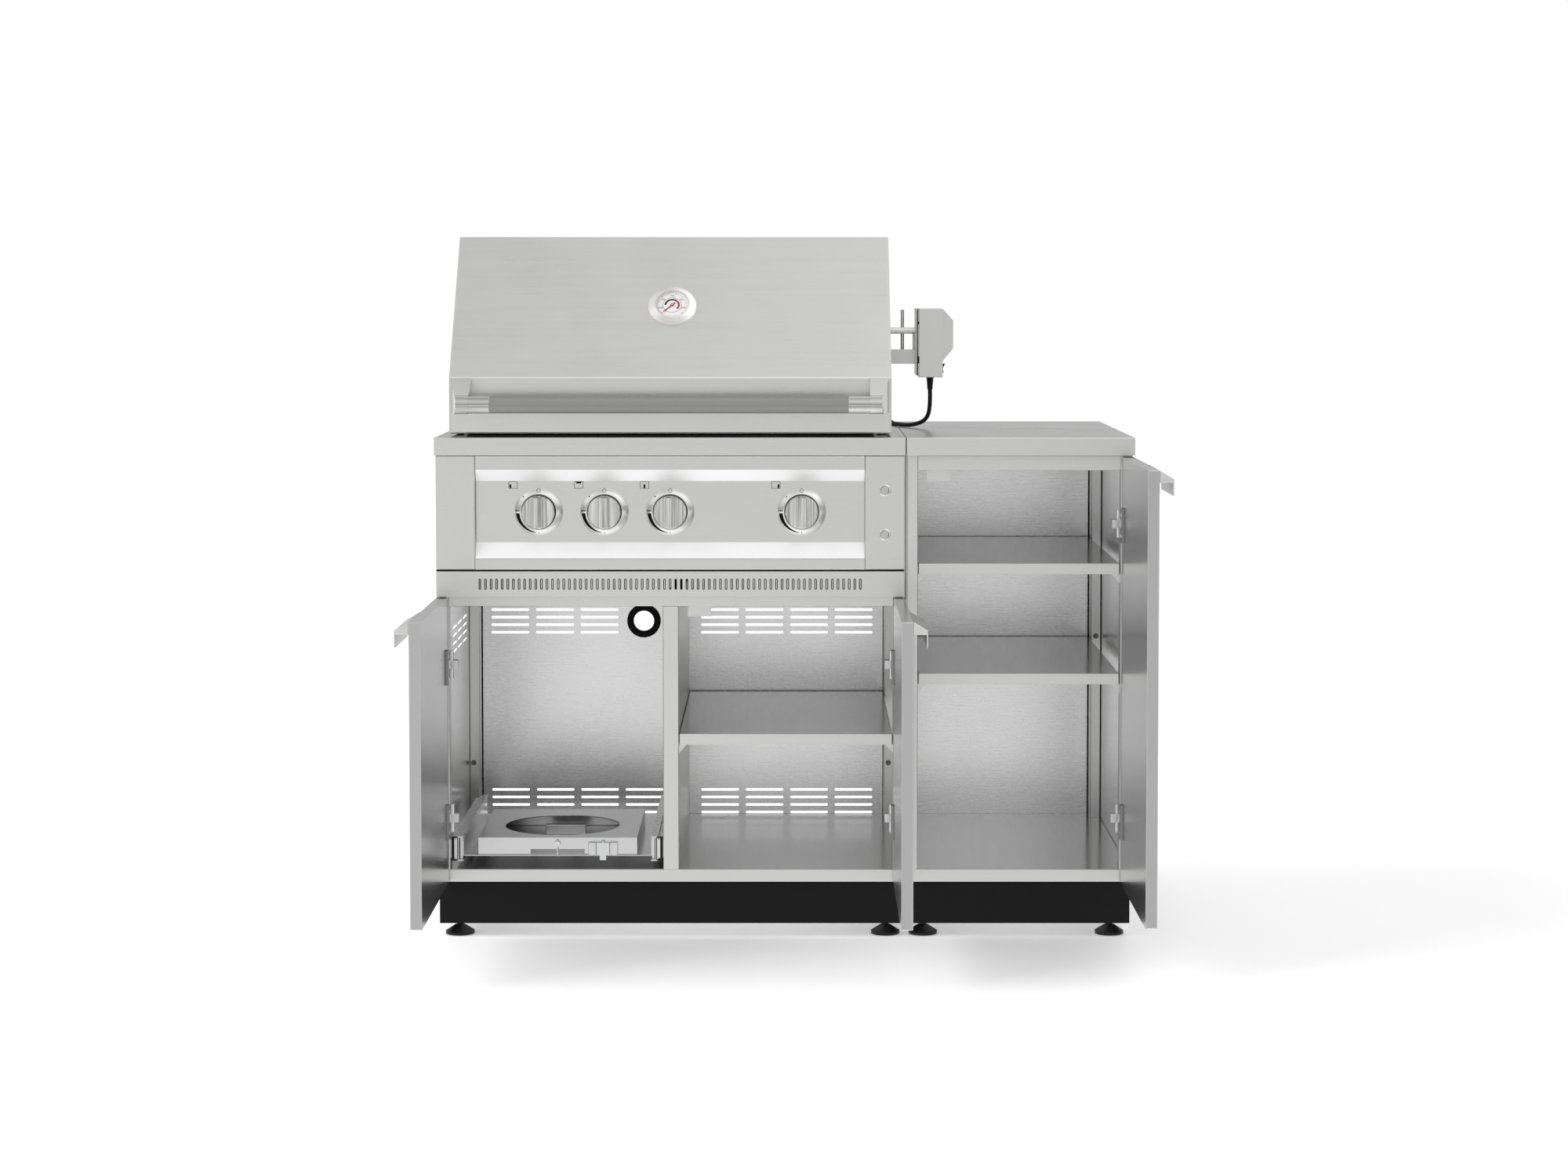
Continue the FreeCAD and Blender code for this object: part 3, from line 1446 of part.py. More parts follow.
def make_rotisserie_bracket():
    """An arm from the right side plate out through the lid's slot to the motor's plate."""
    start = grill_x + S.upstand_half_width
    end = S.mount_plate_left
    depth = (spit_y - S.arm_half_depth, spit_y + S.arm_half_depth)
    channel = cut(
        box((start, end), depth, (S.arm_bottom, S.arm_top)),
        box((start, end), (depth[0] + S.arm_sheet, depth[1] - S.arm_sheet),
            (S.arm_bottom, S.arm_top - S.arm_sheet)),
    )
    plate_y = (spit_y - S.mount_plate_half_depth, spit_y + S.mount_plate_half_depth)
    plate_x = (end, end + S.mount_plate_thick)
    plate = box(plate_x, plate_y, (S.mount_plate_bottom, S.mount_plate_top))
    clearance = S.spit_radius + S.slot_margin
    eye = rod("x", plate_x, spit_y, S.spit_height, clearance)
    gusset_y = (spit_y + S.arm_half_depth - S.arm_sheet, spit_y + S.arm_half_depth)
    gusset = box((end - S.gusset_width, end), gusset_y, (S.arm_top, S.arm_top + S.gusset_height))
    guide_y = spit_y + S.spit_radius + S.spit_notch_gap + S.guide_rod_radius
    guide = rod("z", S.guide_rod_x, guide_y, (S.arm_top - S.arm_sheet, S.guide_rod_top),
                S.guide_rod_radius)
    part("rotisserie_bracket", cut(fused(channel, plate, gusset, guide), eye))


def make_motor_housing():
    """A cast case with a bevelled nose, its cover, and the gear motor inside it."""
    nose_x = (housing_x[1] - S.housing_wall, housing_x[1] + S.nose_width)
    plan = [
        (nose_x[0], housing_y[0]), (housing_x[1], housing_y[0]),
        (nose_x[1], housing_y[0] + S.nose_slant), (nose_x[1], housing_y[1] - S.nose_slant),
        (housing_x[1], housing_y[1]), (nose_x[0], housing_y[1]),
    ]
    side = [
        (nose_x[0], S.nose_bottom), (housing_x[1], S.nose_bottom),
        (nose_x[1], S.nose_bottom + S.nose_bottom_bevel), (nose_x[1], S.housing_top - S.nose_bevel),
        (housing_x[1], S.housing_top), (nose_x[0], S.housing_top),
    ]
    nose = common(profile(plan, (S.nose_bottom, S.housing_top), "xy"),
                  profile(side, housing_y, "xz"))
    shell = box(housing_x, housing_y, housing_z)
    wall = S.housing_wall
    hollow = box(
        (housing_x[0], housing_x[1] - wall),
        (housing_y[0] + wall, housing_y[1] - wall),
        (housing_z[0] + wall, housing_z[1] - wall),
    )
    half_y = S.switch_half_width + S.switch_window_gap
    half_z = S.switch_half_length + S.switch_window_gap
    window = box(
        (housing_x[1] - wall, housing_x[1]),
        (spit_y - half_y, spit_y + half_y),
        (S.switch_height - half_z, S.switch_height + half_z),
    )
    pegs = []
    for sign in (-1, 1):
        inner = spit_y + sign * (S.switch_half_width - S.switch_window_gap)
        outer = spit_y + sign * (half_y + wall)
        span = (inner, outer) if sign > 0 else (outer, inner)
        pegs.append(rod("y", housing_x[1] - wall / 2, span, S.switch_height, S.switch_peg_radius / 2))
    case = fused(cut(fused(shell, nose), hollow, window), *pegs)
    inset = S.cover_inset
    cover = cut(
        box(cover_x, (housing_y[0] + inset, housing_y[1] - inset),
            (housing_z[0] + inset, housing_z[1] - inset)),
        rod("x", cover_x, spit_y, S.spit_height, S.spit_radius + S.running_gap),
    )
    cover_ring = tube_box(
        (cover_x[0], housing_x[0]), (housing_y[0] + inset, housing_y[1] - inset),
        (housing_z[0] + inset, housing_z[1] - inset), S.housing_wall, "x")
    gear = cut(
        box(gear_motor_x, (spit_y - S.gear_motor_half_depth, spit_y + S.gear_motor_half_depth),
            (S.gear_motor_bottom, S.gear_motor_top)),
        rod("x", gear_motor_x, spit_y, S.spit_height, S.spit_radius + S.running_gap),
    )
    part("motor_housing", group(case, fused(cover, cover_ring), gear))


def make_motor_switch():
    """A rocker on two pegs in the housing's outer wall."""
    x = housing_x[1] - S.housing_wall / 2
    z = S.switch_height
    low, high = z - S.switch_half_length, z + S.switch_half_length
    outline = [
        (x - S.switch_root, low), (x + S.switch_low_end, low), (x + S.switch_middle, z),
        (x + S.switch_high_end, high), (x - S.switch_root, high),
    ]
    across = (spit_y - S.switch_half_width, spit_y + S.switch_half_width)
    rocker = profile(outline, across, "xz")
    bore = rod("y", x, across, z, S.switch_peg_radius / 2 + S.running_gap)
    part("motor_switch", cut(rocker, bore))


# Power cord: out of the motor, over the worktop and into a neat coil behind the lid

cord_floor = S.worktop_height + S.seat_gap + S.cord_diameter / 2
relief_tip = S.housing_bottom - S.relief_length
coil_entry = S.coil_depth + S.coil_outer_radius

# The cord's points: place across, depth, and height above the line on which it lies

CORD_ROUTE = [
    (271, 300, 70.3),
    (272, 301, 37.7),
    (265, 322, 11.7),
    (240, 364, 0.7),
    (218, 412, 0),
    (206, 464, 0),
    (208, 518, 0),
    (198, 562, 0),
    (172, 600, 0),
    (136, 623, 0),
    (101, 632, 0),
    (68, 632, 0),
]


def make_strain_relief():
    """A rubber sleeve that tapers from the motor to the cord."""
    base = S.relief_length - S.relief_flange
    sleeve = [
        (0, 0), (S.relief_tip_radius, 0), (S.relief_root_radius, base),
        (S.relief_flange_radius, base), (S.relief_flange_radius, S.relief_length),
        (0, S.relief_length),
    ]
    part("strain_relief", turned(sleeve, S.relief_x, spit_y, relief_tip))


def straight_and_arcs(points):
    """Straight runs joined by tangent arcs, each as large as its two runs allow."""
    edges = []
    radii = []
    start = points[0]
    for before, here, after in zip(points, points[1:], points[2:]):
        into = (here - before).normalize()
        out = (after - here).normalize()
        half_turn = into.getAngle(out) / 2
        trim = 0.45 * min(here.distanceToPoint(before), here.distanceToPoint(after))
        radii.append(trim / math.tan(half_turn))
        enter = here - into * trim
        leave = here + out * trim
        bisector = (out - into).normalize()
        sagitta = radii[-1] * (1 / math.cos(half_turn) - 1)
        middle = here + bisector * sagitta
        if start.distanceToPoint(enter) > 0.01:
            edges.append(Part.LineSegment(start, enter).toShape())
        edges.append(Part.Arc(enter, middle, leave).toShape())
        start = leave
    edges.append(Part.LineSegment(start, points[-1]).toShape())
    print("cord bend radii, mm:", [round(radius, 1) for radius in radii])
    return Part.Wire(edges)


def swept_tube(wire, radius, label):
    """A round tube along a wire, checked against its section times its length."""
    first = wire.Edges[0]
    start = first.valueAt(first.FirstParameter)
    along = first.tangentAt(first.FirstParameter)
    ring = Part.Wire(Part.makeCircle(radius, start, along))
    tube = wire.makePipeShell([ring], True, False)
    expected = math.pi * radius ** 2 * wire.Length
    print(f"{label}: length {wire.Length:.1f} mm, volume ratio {tube.Volume / expected:.4f}")
    return tube


def make_cord():
    shift = FreeCAD.Vector(0, mm(front), mm(cord_floor))
    points = [FreeCAD.Vector(*point) + shift for point in CORD_ROUTE]
    points[0] = FreeCAD.Vector(mm(S.relief_x), mm(spit_y), mm(relief_tip))
    points[-1] = coil_start() + FreeCAD.Vector(mm(S.cord_diameter), 0, 0)
    points[-2].y = points[-1].y
    tube = swept_tube(straight_and_arcs(points), mm(S.cord_diameter) / 2, "cord")
    feature = doc.addObject("Part::Feature", "Cord")
    feature.Shape = tube
    part("rotisserie_cord", feature)


def coil_start():
    return FreeCAD.Vector(mm(S.coil_x), mm(deep(coil_entry)), mm(cord_floor))


def coil_point(turn):
    """A place on the coil's line: in on the lower layer, then out on the upper one."""
    angle = math.pi / 2 + 2 * math.pi * turn
    pitch = mm(S.coil_pitch)
    middle = COIL_TURNS + CLIMB_TURNS / 2
    radius = mm(S.coil_outer_radius) - pitch * (middle - abs(turn - middle))
    climb = min(max((turn - COIL_TURNS) / CLIMB_TURNS, 0), 1)
    rise = mm(S.coil_layer_step) * (1 - math.cos(math.pi * climb)) / 2
    return FreeCAD.Vector(
        mm(S.coil_x) + radius * math.cos(angle),
        mm(deep(S.coil_depth)) + radius * math.sin(angle),
        mm(cord_floor) + rise,
    )


def coil_heading(turn):
    step = 0.0005
    return (coil_point(turn + step) - coil_point(turn - step)).normalize()


def biarc(start, start_way, end, end_way):
    """Two arcs that leave one point and reach another in the given directions."""
    chord = end - start
    sum_way = start_way + end_way
    a = 2 * (1 - start_way.dot(end_way))
    b = 2 * chord.dot(sum_way)
    c = -chord.dot(chord)
    reach = (-b + math.sqrt(b * b - 4 * a * c)) / (2 * a) if a > 1e-9 else -c / b
    first = start + start_way * reach
    second = end - end_way * reach
    joint = (first + second) / 2
    return [arc_between(start, first, joint), arc_between(joint, second, end)]


def arc_between(start, corner, end):
    """The arc that is tangent to both sides of a corner."""
    middle = (start + end) / 2
    half_chord = start.distanceToPoint(middle)
    height = corner.distanceToPoint(middle)
    side = corner.distanceToPoint(start)
    if height < 1e-6:
        return Part.LineSegment(start, end).toShape()
    sagitta = half_chord * (side - half_chord) / height
    return Part.Arc(start, middle + (corner - middle).normalize() * sagitta, end).toShape()


def coil_edges():
    """The coil in quarter turns, with a straight end before and after it."""
    last = 2 * COIL_TURNS + CLIMB_TURNS
    quarters = int(last * 4)
    stations = [last * index / quarters for index in range(quarters + 1)]
    headings = [coil_heading(turn) for turn in stations]
    headings[0] = FreeCAD.Vector(-1, 0, 0)
    places = [coil_point(turn) for turn in stations]
    straight = mm(S.cord_diameter)
    edges = [Part.LineSegment(places[0] - headings[0] * straight, places[0]).toShape()]
    for index in range(quarters):
        edges += biarc(places[index], headings[index], places[index + 1], headings[index + 1])
    edges.append(Part.LineSegment(places[-1], places[-1] + headings[-1] * straight).toShape())
    return edges


def least_gap(edges, radius):
    """The least distance between stretches of the coil that are not neighbours on it."""
    points = []
    travel = 0.0
    for edge in edges:
        for point in edge.discretize(Distance=3.0)[:-1]:
            points.append((travel, point))
            travel += 3.0
    apart = mm(S.coil_outer_radius)
    return min(
        first.distanceToPoint(second) - 2 * radius
        for place_a, first in points
        for place_b, second in points
        if place_b - place_a > apart
    )


def make_coil():
    edges = coil_edges()
    radius = mm(S.cord_diameter) / 2
    feature = doc.addObject("Part::Feature", "Coil")
    feature.Shape = swept_tube(Part.Wire(edges), radius, "coil")
    part("rotisserie_cord_coil", feature)
    print(f"coil: least gap {least_gap(edges, radius):.2f} mm")
    end = edges[-1]
    return end.valueAt(end.LastParameter), end.tangentAt(end.LastParameter)


def make_mains_plug(tip, way):
    """A moulded two-pin plug that lies beside the coil, on the cord's end."""
    length, width = mm(S.plug_length), mm(S.plug_width)
    thick = mm(S.cord_diameter + 2 * S.coil_layer_step)
    nose, sleeve = mm(S.plug_nose), mm(S.plug_sleeve)
    along = FreeCAD.Vector(1, 0, 0)
    tail = mm(S.cord_diameter / 2 + S.plug_sleeve_wall)
    root = mm(S.cord_diameter / 2 + S.plug_sleeve_root)
    shape = Part.makeCone(tail, root, sleeve, FreeCAD.Vector(), along)
    shape = shape.fuse(Part.makeCone(root, thick / 2, nose, along * sleeve, along))
    front_face = sleeve + nose
    corner = FreeCAD.Vector(front_face, -width / 2, -thick / 2)
    shape = shape.fuse(Part.makeBox(length, width, thick, corner))
    blade_w, blade_t = mm(S.blade_width), mm(S.blade_thick)
    for side in (-1, 1):
        middle = side * mm(S.blade_spacing) / 2
        corner = FreeCAD.Vector(front_face + length, middle - blade_t / 2, -blade_w / 2)
        shape = shape.fuse(Part.makeBox(mm(S.blade_length), blade_t, blade_w, corner))
    feature = doc.addObject("Part::Feature", "Plug")
    feature.Shape = shape
    heading = FreeCAD.Rotation(FreeCAD.Vector(1, 0, 0), way)
    feature.Placement = FreeCAD.Placement(tip, heading)
    part("mains_plug", feature)


# Doors: folded outer skins with inner liners, hung on pins at their outer corners

def door_frame(side):
    """A door's outer face, the way into the cabinet from it, its top, width and hinges."""
    outer = {
        "left": left_edge + S.door_side_gap,
        "middle": left_seam - S.door_side_gap,
        "right": right_edge - S.door_side_gap,
    }[side]
    inward = 1 if side == "left" else -1
    top = S.right_door_top if side == "right" else S.left_door_top
    width = right_door_width if side == "right" else left_door_width
    upper = S.right_upper_hinge if side == "right" else S.upper_hinge
    return outer, inward, top, width, (upper, S.lower_hinge)


def make_door(side):
    outer, inward, top, width, hinges = door_frame(side)
    pivot_x = outer + inward * S.pivot_inset
    pivot_y = deep(pivot_depth)
    inner = outer + inward * S.door_thick
    rear = pivot_y + S.pivot_inset
    depth = (rear - width, rear)
    height = (S.door_bottom, top)
    liner = ordered(inner - inward * S.door_skin, inner, inward)
    skin = door_skin(outer, inner, inward, depth, height)
    liner_plate = box(liner, (depth[0], rear - S.edge_relief), height)
    notches = []
    for z in hinges:
        half = S.notch_height / 2
        notch_x = ordered(outer + inward * S.notch_skin, inner, inward)
        notches.append(box(notch_x, (pivot_y - S.notch_rear, rear), (z - half, z + half)))
    part(f"{side}_door", group(cut(skin, *notches), cut(liner_plate, *notches)))
    make_door_pull(side, outer, inward, top, depth[0])
    make_door_hinges(side, inner, inward, pivot_x, pivot_y, hinges)


def door_skin(outer, inner, inward, depth, height):
    """A folded tray whose hinge edge is bevelled, so that it turns clear of the post."""
    free_edge, rear = depth
    wall = S.door_skin
    mouth = inner - inward * wall
    bevel = inner - inward * S.edge_relief
    outside = [
        (outer, free_edge), (mouth, free_edge), (mouth, rear - S.edge_relief + wall),
        (bevel, rear), (outer, rear),
    ]
    back = outer + inward * wall
    inside = [
        (back, free_edge + wall), (mouth, free_edge + wall), (mouth, rear - S.edge_relief - wall),
        (bevel - inward * wall, rear - wall), (back, rear - wall),
    ]
    hollow = (Size(height[0]) + wall, Size(height[1]) - wall)
    return cut(profile(outside, height, "xy"), profile(inside, hollow, "xy"))


def make_door_pull(side, outer, inward, top, free_edge):
    """A strip folded outwards and down along the door's top, closed by small end plates."""
    far = outer - inward * S.pull_reach
    near = far + inward * S.pull_sheet
    outline = [
        (outer, top), (far, top - S.pull_fall), (far, top - S.pull_lip), (near, top - S.pull_lip),
        (near, top - S.pull_fall - S.pull_sheet / 2), (outer, top - S.pull_sheet),
    ]
    span = (free_edge, free_edge + S.pull_length)
    strip = profile(outline, span, "xz")
    ends = []
    for start in (free_edge, free_edge + S.pull_length - S.pull_sheet):
        plate = [(outer, top), (far, top - S.pull_fall), (far, top - S.pull_gusset_drop),
                 (outer, top - S.pull_gusset_drop)]
        ends.append(profile(plate, (start, start + S.pull_sheet), "xz"))
    part(f"{side}_door_handle", fused(strip, *ends))


def make_door_hinges(side, inner, inward, pivot_x, pivot_y, hinges):
    """A leaf screwed to the liner, with two lugs that hold the pin in the door's notch."""
    solids = []
    for z in hinges:
        leaf_x = ordered(inner, inner + inward * S.leaf_thick, inward)
        leaf_y = (pivot_y - S.leaf_setback - S.leaf_length, pivot_y - S.leaf_setback)
        leaf = box(leaf_x, leaf_y, (z - S.leaf_height / 2, z + S.leaf_height / 2))
        pieces = [leaf]
        eye_half = S.eye_height / 2 + S.lug_gap
        lug_edge = pivot_x - inward * S.eye_radius
        lug_x = ordered(lug_edge, pivot_x + inward * S.eye_radius, inward)
        bridge_x = ordered(lug_edge, inner + inward * S.leaf_thick, inward)
        for sign in (-1, 1):
            low = z + sign * eye_half
            high = low + sign * S.lug_thick
            lug_z = ordered(low, high, sign)
            pieces.append(box(lug_x, (pivot_y - S.notch_rear, pivot_y + S.eye_radius), lug_z))
            pieces.append(box(bridge_x, (pivot_y - S.notch_rear, pivot_y - S.leaf_setback), lug_z))
        pin_half = eye_half + S.lug_thick
        pieces.append(rod("z", pivot_x, pivot_y, (z - pin_half, z + pin_half), S.hinge_pin_radius))
        solids.append(fused(*pieces))
    part(f"{side}_door_hinges", group(*solids))


def make_hinge_brackets():
    """An eye on the post's front face for each pin, and its nut block inside the post."""
    solids = []
    for side, cabinet in (("left", "left"), ("middle", "left"), ("right", "right")):
        outer, inward, top, width, hinges = door_frame(side)
        pivot_x = outer + inward * S.pivot_inset
        pivot_y = deep(pivot_depth)
        low, high = opening(cabinet)
        post_inner = low if inward > 0 else high
        for z in hinges:
            half = S.eye_height / 2
            tall = (z - half, z + half)
            arm = box((pivot_x - S.eye_radius, pivot_x + S.eye_radius), (pivot_y, frame_y), tall)
            eye = rod("z", pivot_x, pivot_y, tall, S.eye_radius)
            bore = rod("z", pivot_x, pivot_y, tall, S.hinge_pin_radius + S.running_gap)
            solids.append(cut(fused(arm, eye), bore))
            block_y = (frame_y + S.block_setback, frame_y + S.block_setback + S.block_depth)
            block_half = S.block_height / 2
            block = box(ordered(post_inner, post_inner + inward * S.block_width, inward), block_y,
                        (z - block_half, z + block_half))
            barrel = rod("z", post_inner + inward * S.barrel_radius, block_y[0] + S.barrel_radius,
                         (z - S.barrel_height / 2, z + S.barrel_height / 2), S.barrel_radius)
            solids.append(fused(block, barrel))
    part("hinge_brackets", group(*solids))


# Tank tray: a sliding tray for the gas bottle, on two ball-bearing slides

bay = (opening("left")[0], divider[0])
bay_centre = (bay[0] + bay[1]) / 2
rail_z = S.rail_centre_height
rail_y = both(S.rail_front, S.rail_front + S.rail_length)


def rail_channel(root, inward, offset, width, height, depth):
    """A C channel that opens towards the tray."""
    back = root + inward * offset
    mouth = back + inward * width
    half = height / 2
    outer = box(ordered(back, mouth, inward), depth, (rail_z - half, rail_z + half))
    hollow = box(ordered(back + inward * S.rail_sheet, mouth, inward), depth,
                 (rail_z - half + S.rail_sheet, rail_z + half - S.rail_sheet))
    return cut(outer, hollow)


middle_height = S.rail_height - 2 * S.rail_sheet - 2 * S.rail_play
inner_height = middle_height - 2 * S.rail_sheet - 2 * S.rail_play
rail_roots = ((bay[0] + S.rail_standoff, 1), (bay[1] - S.rail_standoff, -1))


def make_tray_rails():
    outers = []
    middles = []
    for root, inward in rail_roots:
        channel = rail_channel(root, inward, 0, S.rail_width, S.rail_height, rail_y)
        wall = root - inward * S.rail_standoff
        half = S.standoff_height / 2
        spacer = box(ordered(wall, root, inward), rail_y, (rail_z - half, rail_z + half))
        outers.append(fused(channel, spacer))
        middles.append(rail_channel(root, inward, S.middle_offset, S.middle_width, middle_height,
                                    rail_y))
    part("tray_outer_rails", group(*outers))
    part("tray_middle_rails", group(*middles))


def make_tank_tray():
    base_z = rail_z - S.tray_base_drop
    base_top = base_z + S.tray_sheet
    depth = both(S.tray_front, S.tray_front + S.tray_length)
    pieces = []
    sides = []
    for root, inward in rail_roots:
        inner_face = root + inward * (S.inner_offset + S.inner_width)
        member = ordered(root + inward * S.inner_offset, inner_face, inward)
        half = inner_height / 2
        pieces.append(box(member, depth, (rail_z - half, rail_z + half)))
        side_x = ordered(inner_face, inner_face + inward * S.tray_sheet, inward)
        pieces.append(box(side_x, depth, (base_z, base_z + S.tray_side_height)))
        sides.append(inner_face)
    pieces.append(box((sides[0], sides[1]), depth, (base_z, base_top)))
    plat = (bay_centre - S.platform_width / 2, bay_centre + S.platform_width / 2)
    plat_depth = both(S.platform_front, S.platform_front + S.platform_length)
    plat_z = (base_top, base_top + S.platform_height)
    platform = pan(plat, plat_depth, plat_z, S.tray_sheet, "-z")
    hole = rod("z", bay_centre, deep(S.platform_front + S.bottle_hole_depth),
               (plat_z[1] - S.tray_sheet, plat_z[1]), S.bottle_hole_radius)
    wall = (plat_depth[0], plat_depth[0] + S.tray_sheet)
    notch = box((bay_centre - S.platform_notch_width / 2, bay_centre + S.platform_notch_width / 2),
                wall, (plat_z[0], plat_z[0] + S.platform_notch_height))
    screw_hole = rod("y", bay_centre, wall, screw_z, S.screw_radius + S.running_gap)
    stop_y = deep(S.platform_front + S.stop_block_place)
    stop = box((bay_centre - S.stop_block_width / 2, bay_centre + S.stop_block_width / 2),
               (stop_y, stop_y + S.stop_block_depth), (base_top, base_top + S.stop_block_height))
    tray = fused(*pieces)
    part("tank_tray", group(tray, cut(platform, hole, notch, screw_hole), stop, *latch_cheeks(plat_depth[0])))


screw_z = (rail_z - S.tray_base_drop + S.tray_sheet + S.platform_notch_height
           + (S.platform_height - S.platform_notch_height) / 2)
latch_x = bay_centre + S.latch_offset
latch_top = rail_z - S.tray_base_drop + S.tray_sheet + S.latch_height


def latch_cheeks(wall_y):
    """Two guides and a bridge, welded on the platform's front for the latch bolt."""
    half = S.latch_width / 2
    low = rail_z - S.tray_base_drop + S.tray_sheet
    depth = (wall_y - S.latch_depth, wall_y)
    cheeks = []
    for sign in (-1, 1):
        inner = latch_x + sign * (half + S.latch_gap)
        outer = inner + sign * S.latch_cheek
        cheeks.append(box(ordered(inner, outer, sign), depth, (low, latch_top)))
    return cheeks


def make_tray_latch():
    """A bolt between the cheeks; a spring pushes it down, and a knob lifts it."""
    wall_y = deep(S.platform_front)
    half = S.latch_width / 2
    low = rail_z - S.tray_base_drop + S.tray_sheet
    depth = (wall_y - S.latch_depth, wall_y - S.latch_gap)
    bolt = box((latch_x - half, latch_x + half), depth, (low, latch_top - S.latch_gap))
    tongue_half = S.latch_tongue_width / 2
    tongue_y = (deep(S.tray_front) - S.latch_depth / 2 - S.latch_gap, deep(S.tray_front) - S.latch_gap)
    tongue = box((latch_x - tongue_half, latch_x + tongue_half),
                 (depth[0], tongue_y[1]), (low - S.latch_tongue_drop, low))
    knob = rod("z", latch_x, (depth[0] + depth[1]) / 2,
               (latch_top - S.latch_gap, latch_top + S.latch_knob_height), S.latch_knob_radius)
    part("tray_latch", fused(bolt, tongue, knob))


def make_thumb_screw():
    """A screw through the platform's front that holds the bottle's foot ring."""
    wall_y = deep(S.platform_front)
    shank = rod("y", bay_centre, (wall_y - S.seat_gap, wall_y + S.screw_shank), screw_z,
                S.screw_radius)
    hub_y = (wall_y - S.seat_gap - S.screw_hub_length, wall_y - S.seat_gap)
    hub = rod("y", bay_centre, hub_y, screw_z, S.screw_hub_radius)
    pin = rod("z", bay_centre, (hub_y[0] + hub_y[1]) / 2,
              (screw_z - S.screw_pin_length + S.screw_hub_radius, screw_z + S.screw_pin_rise),
              S.screw_pin_radius)
    part("thumb_screw", fused(shank, hub, pin))


# The whole island

def build():
    make_worktops()
    make_side_panels()
    make_frame_posts()
    make_frame_rails()
    make_centre_divider()
    make_cabinet_floors()
    make_back_panels()
    make_cable_grommet()
    make_shelves()
    make_plinths()
    make_levelling_feet()
    make_control_panel()
    make_side_fillers()
    make_vent_panel()
    make_control_bezels()
    for label, step in KNOB_STEPS.items():
        make_knob(label, step)
    make_button("upper_button", S.upper_button_height)
    make_button("lower_button", S.lower_button_height)
    make_gas_manifold()
    make_main_burners()
    make_firebox()
    make_grease_tray()
    make_flame_tamers()
    make_cooking_grates()
    make_grill_upstand()
    make_rear_burner()
    make_lid_shell()
    make_lid_end_panels()
    make_lid_handle()
    make_thermometer()
    make_spit()
    make_rotisserie_bracket()
    make_motor_housing()
    make_motor_switch()
    make_strain_relief()
    make_cord()
    make_mains_plug(*make_coil())
    for side in ("left", "middle", "right"):
        make_door(side)
    make_hinge_brackets()
    make_tray_rails()
    make_tank_tray()
    make_tray_latch()
    make_thumb_screw()


def check_and_write():
    """Every object must be sound before anything is written."""
    doc.recompute()
    for item in doc.Objects:
        if "Invalid" in item.State or "Error" in item.State:
            raise RuntimeError(f"{item.Label} is {item.State}")
    for item in parts:
        if item.Shape.isNull() or not item.Shape.isValid() or not item.Shape.Solids:
            raise RuntimeError(f"{item.Label} has no sound shape")
    os.makedirs("parts", exist_ok=True)
    for item in parts:
        item.Shape.exportStep(f"parts/{item.Label}.step")
    print(f"{len(parts)} sub-parts written")


build()
check_and_write()
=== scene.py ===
import math

import bmesh
import bpy
from mathutils import Matrix, Vector


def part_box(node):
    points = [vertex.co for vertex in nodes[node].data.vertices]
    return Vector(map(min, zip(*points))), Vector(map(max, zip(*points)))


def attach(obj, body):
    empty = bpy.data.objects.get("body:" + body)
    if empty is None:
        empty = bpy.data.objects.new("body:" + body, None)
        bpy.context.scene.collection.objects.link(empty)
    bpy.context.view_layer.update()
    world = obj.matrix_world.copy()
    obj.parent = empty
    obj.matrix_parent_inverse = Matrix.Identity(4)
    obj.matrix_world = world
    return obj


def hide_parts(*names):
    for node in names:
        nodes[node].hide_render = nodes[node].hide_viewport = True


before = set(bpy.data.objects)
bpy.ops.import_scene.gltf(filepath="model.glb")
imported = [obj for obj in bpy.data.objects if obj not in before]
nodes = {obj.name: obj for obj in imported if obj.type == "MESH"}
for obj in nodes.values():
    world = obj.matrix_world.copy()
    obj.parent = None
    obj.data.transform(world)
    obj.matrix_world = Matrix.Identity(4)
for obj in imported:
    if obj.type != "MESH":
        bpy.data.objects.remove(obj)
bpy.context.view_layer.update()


# The cabinets' sheet steel: side panels, posts, rails, the divider and the back panels.
# Stainless sheet, belt-brushed one way, folded and spot-welded: round bends, nearly sharp cut
# edges. The linings mirror each other; they are whiter than the outer sheet, painted light that
# keeps the shaded inside pale, and a Metallic just under 1 keeps them pale too.

STEEL_SHADE = "E1E1E0"
BEND_RADIUS = 0.0018
CUT_EDGE = 0.00025
FOLD_ANGLE = math.radians(18)
FLAT_TURN = math.cos(math.radians(12))
BEND_TURN = math.cos(math.radians(35))
BROAD_FLAT = 8
WIDE_FACE = 3
LEVEL_ANGLE = 0.01
SAME_PLACE = 0.00001
SHORT_HAIRS = (0.012, 0.0005)
SHORT_STREAKS = (0.06, 0.003)
LINING_HAIRS = (0.012, 0.0009)
LINING_METAL = 0.85
CLOUD_SIZE = 0.11
UPWARDS = Vector((0, 0, 1))


def linear(code):
    """A colour chip's hex code as linear light."""
    chips = [int(code[start:start + 2], 16) / 255 for start in (0, 2, 4)]
    return [((c + 0.055) / 1.055) ** 2.4 if c > 0.04045 else c / 12.92 for c in chips] + [1.0]


def shade(code, factor):
    """The same colour, lighter or darker."""
    return [min(c * factor, 1.0) for c in linear(code)[:3]] + [1.0]


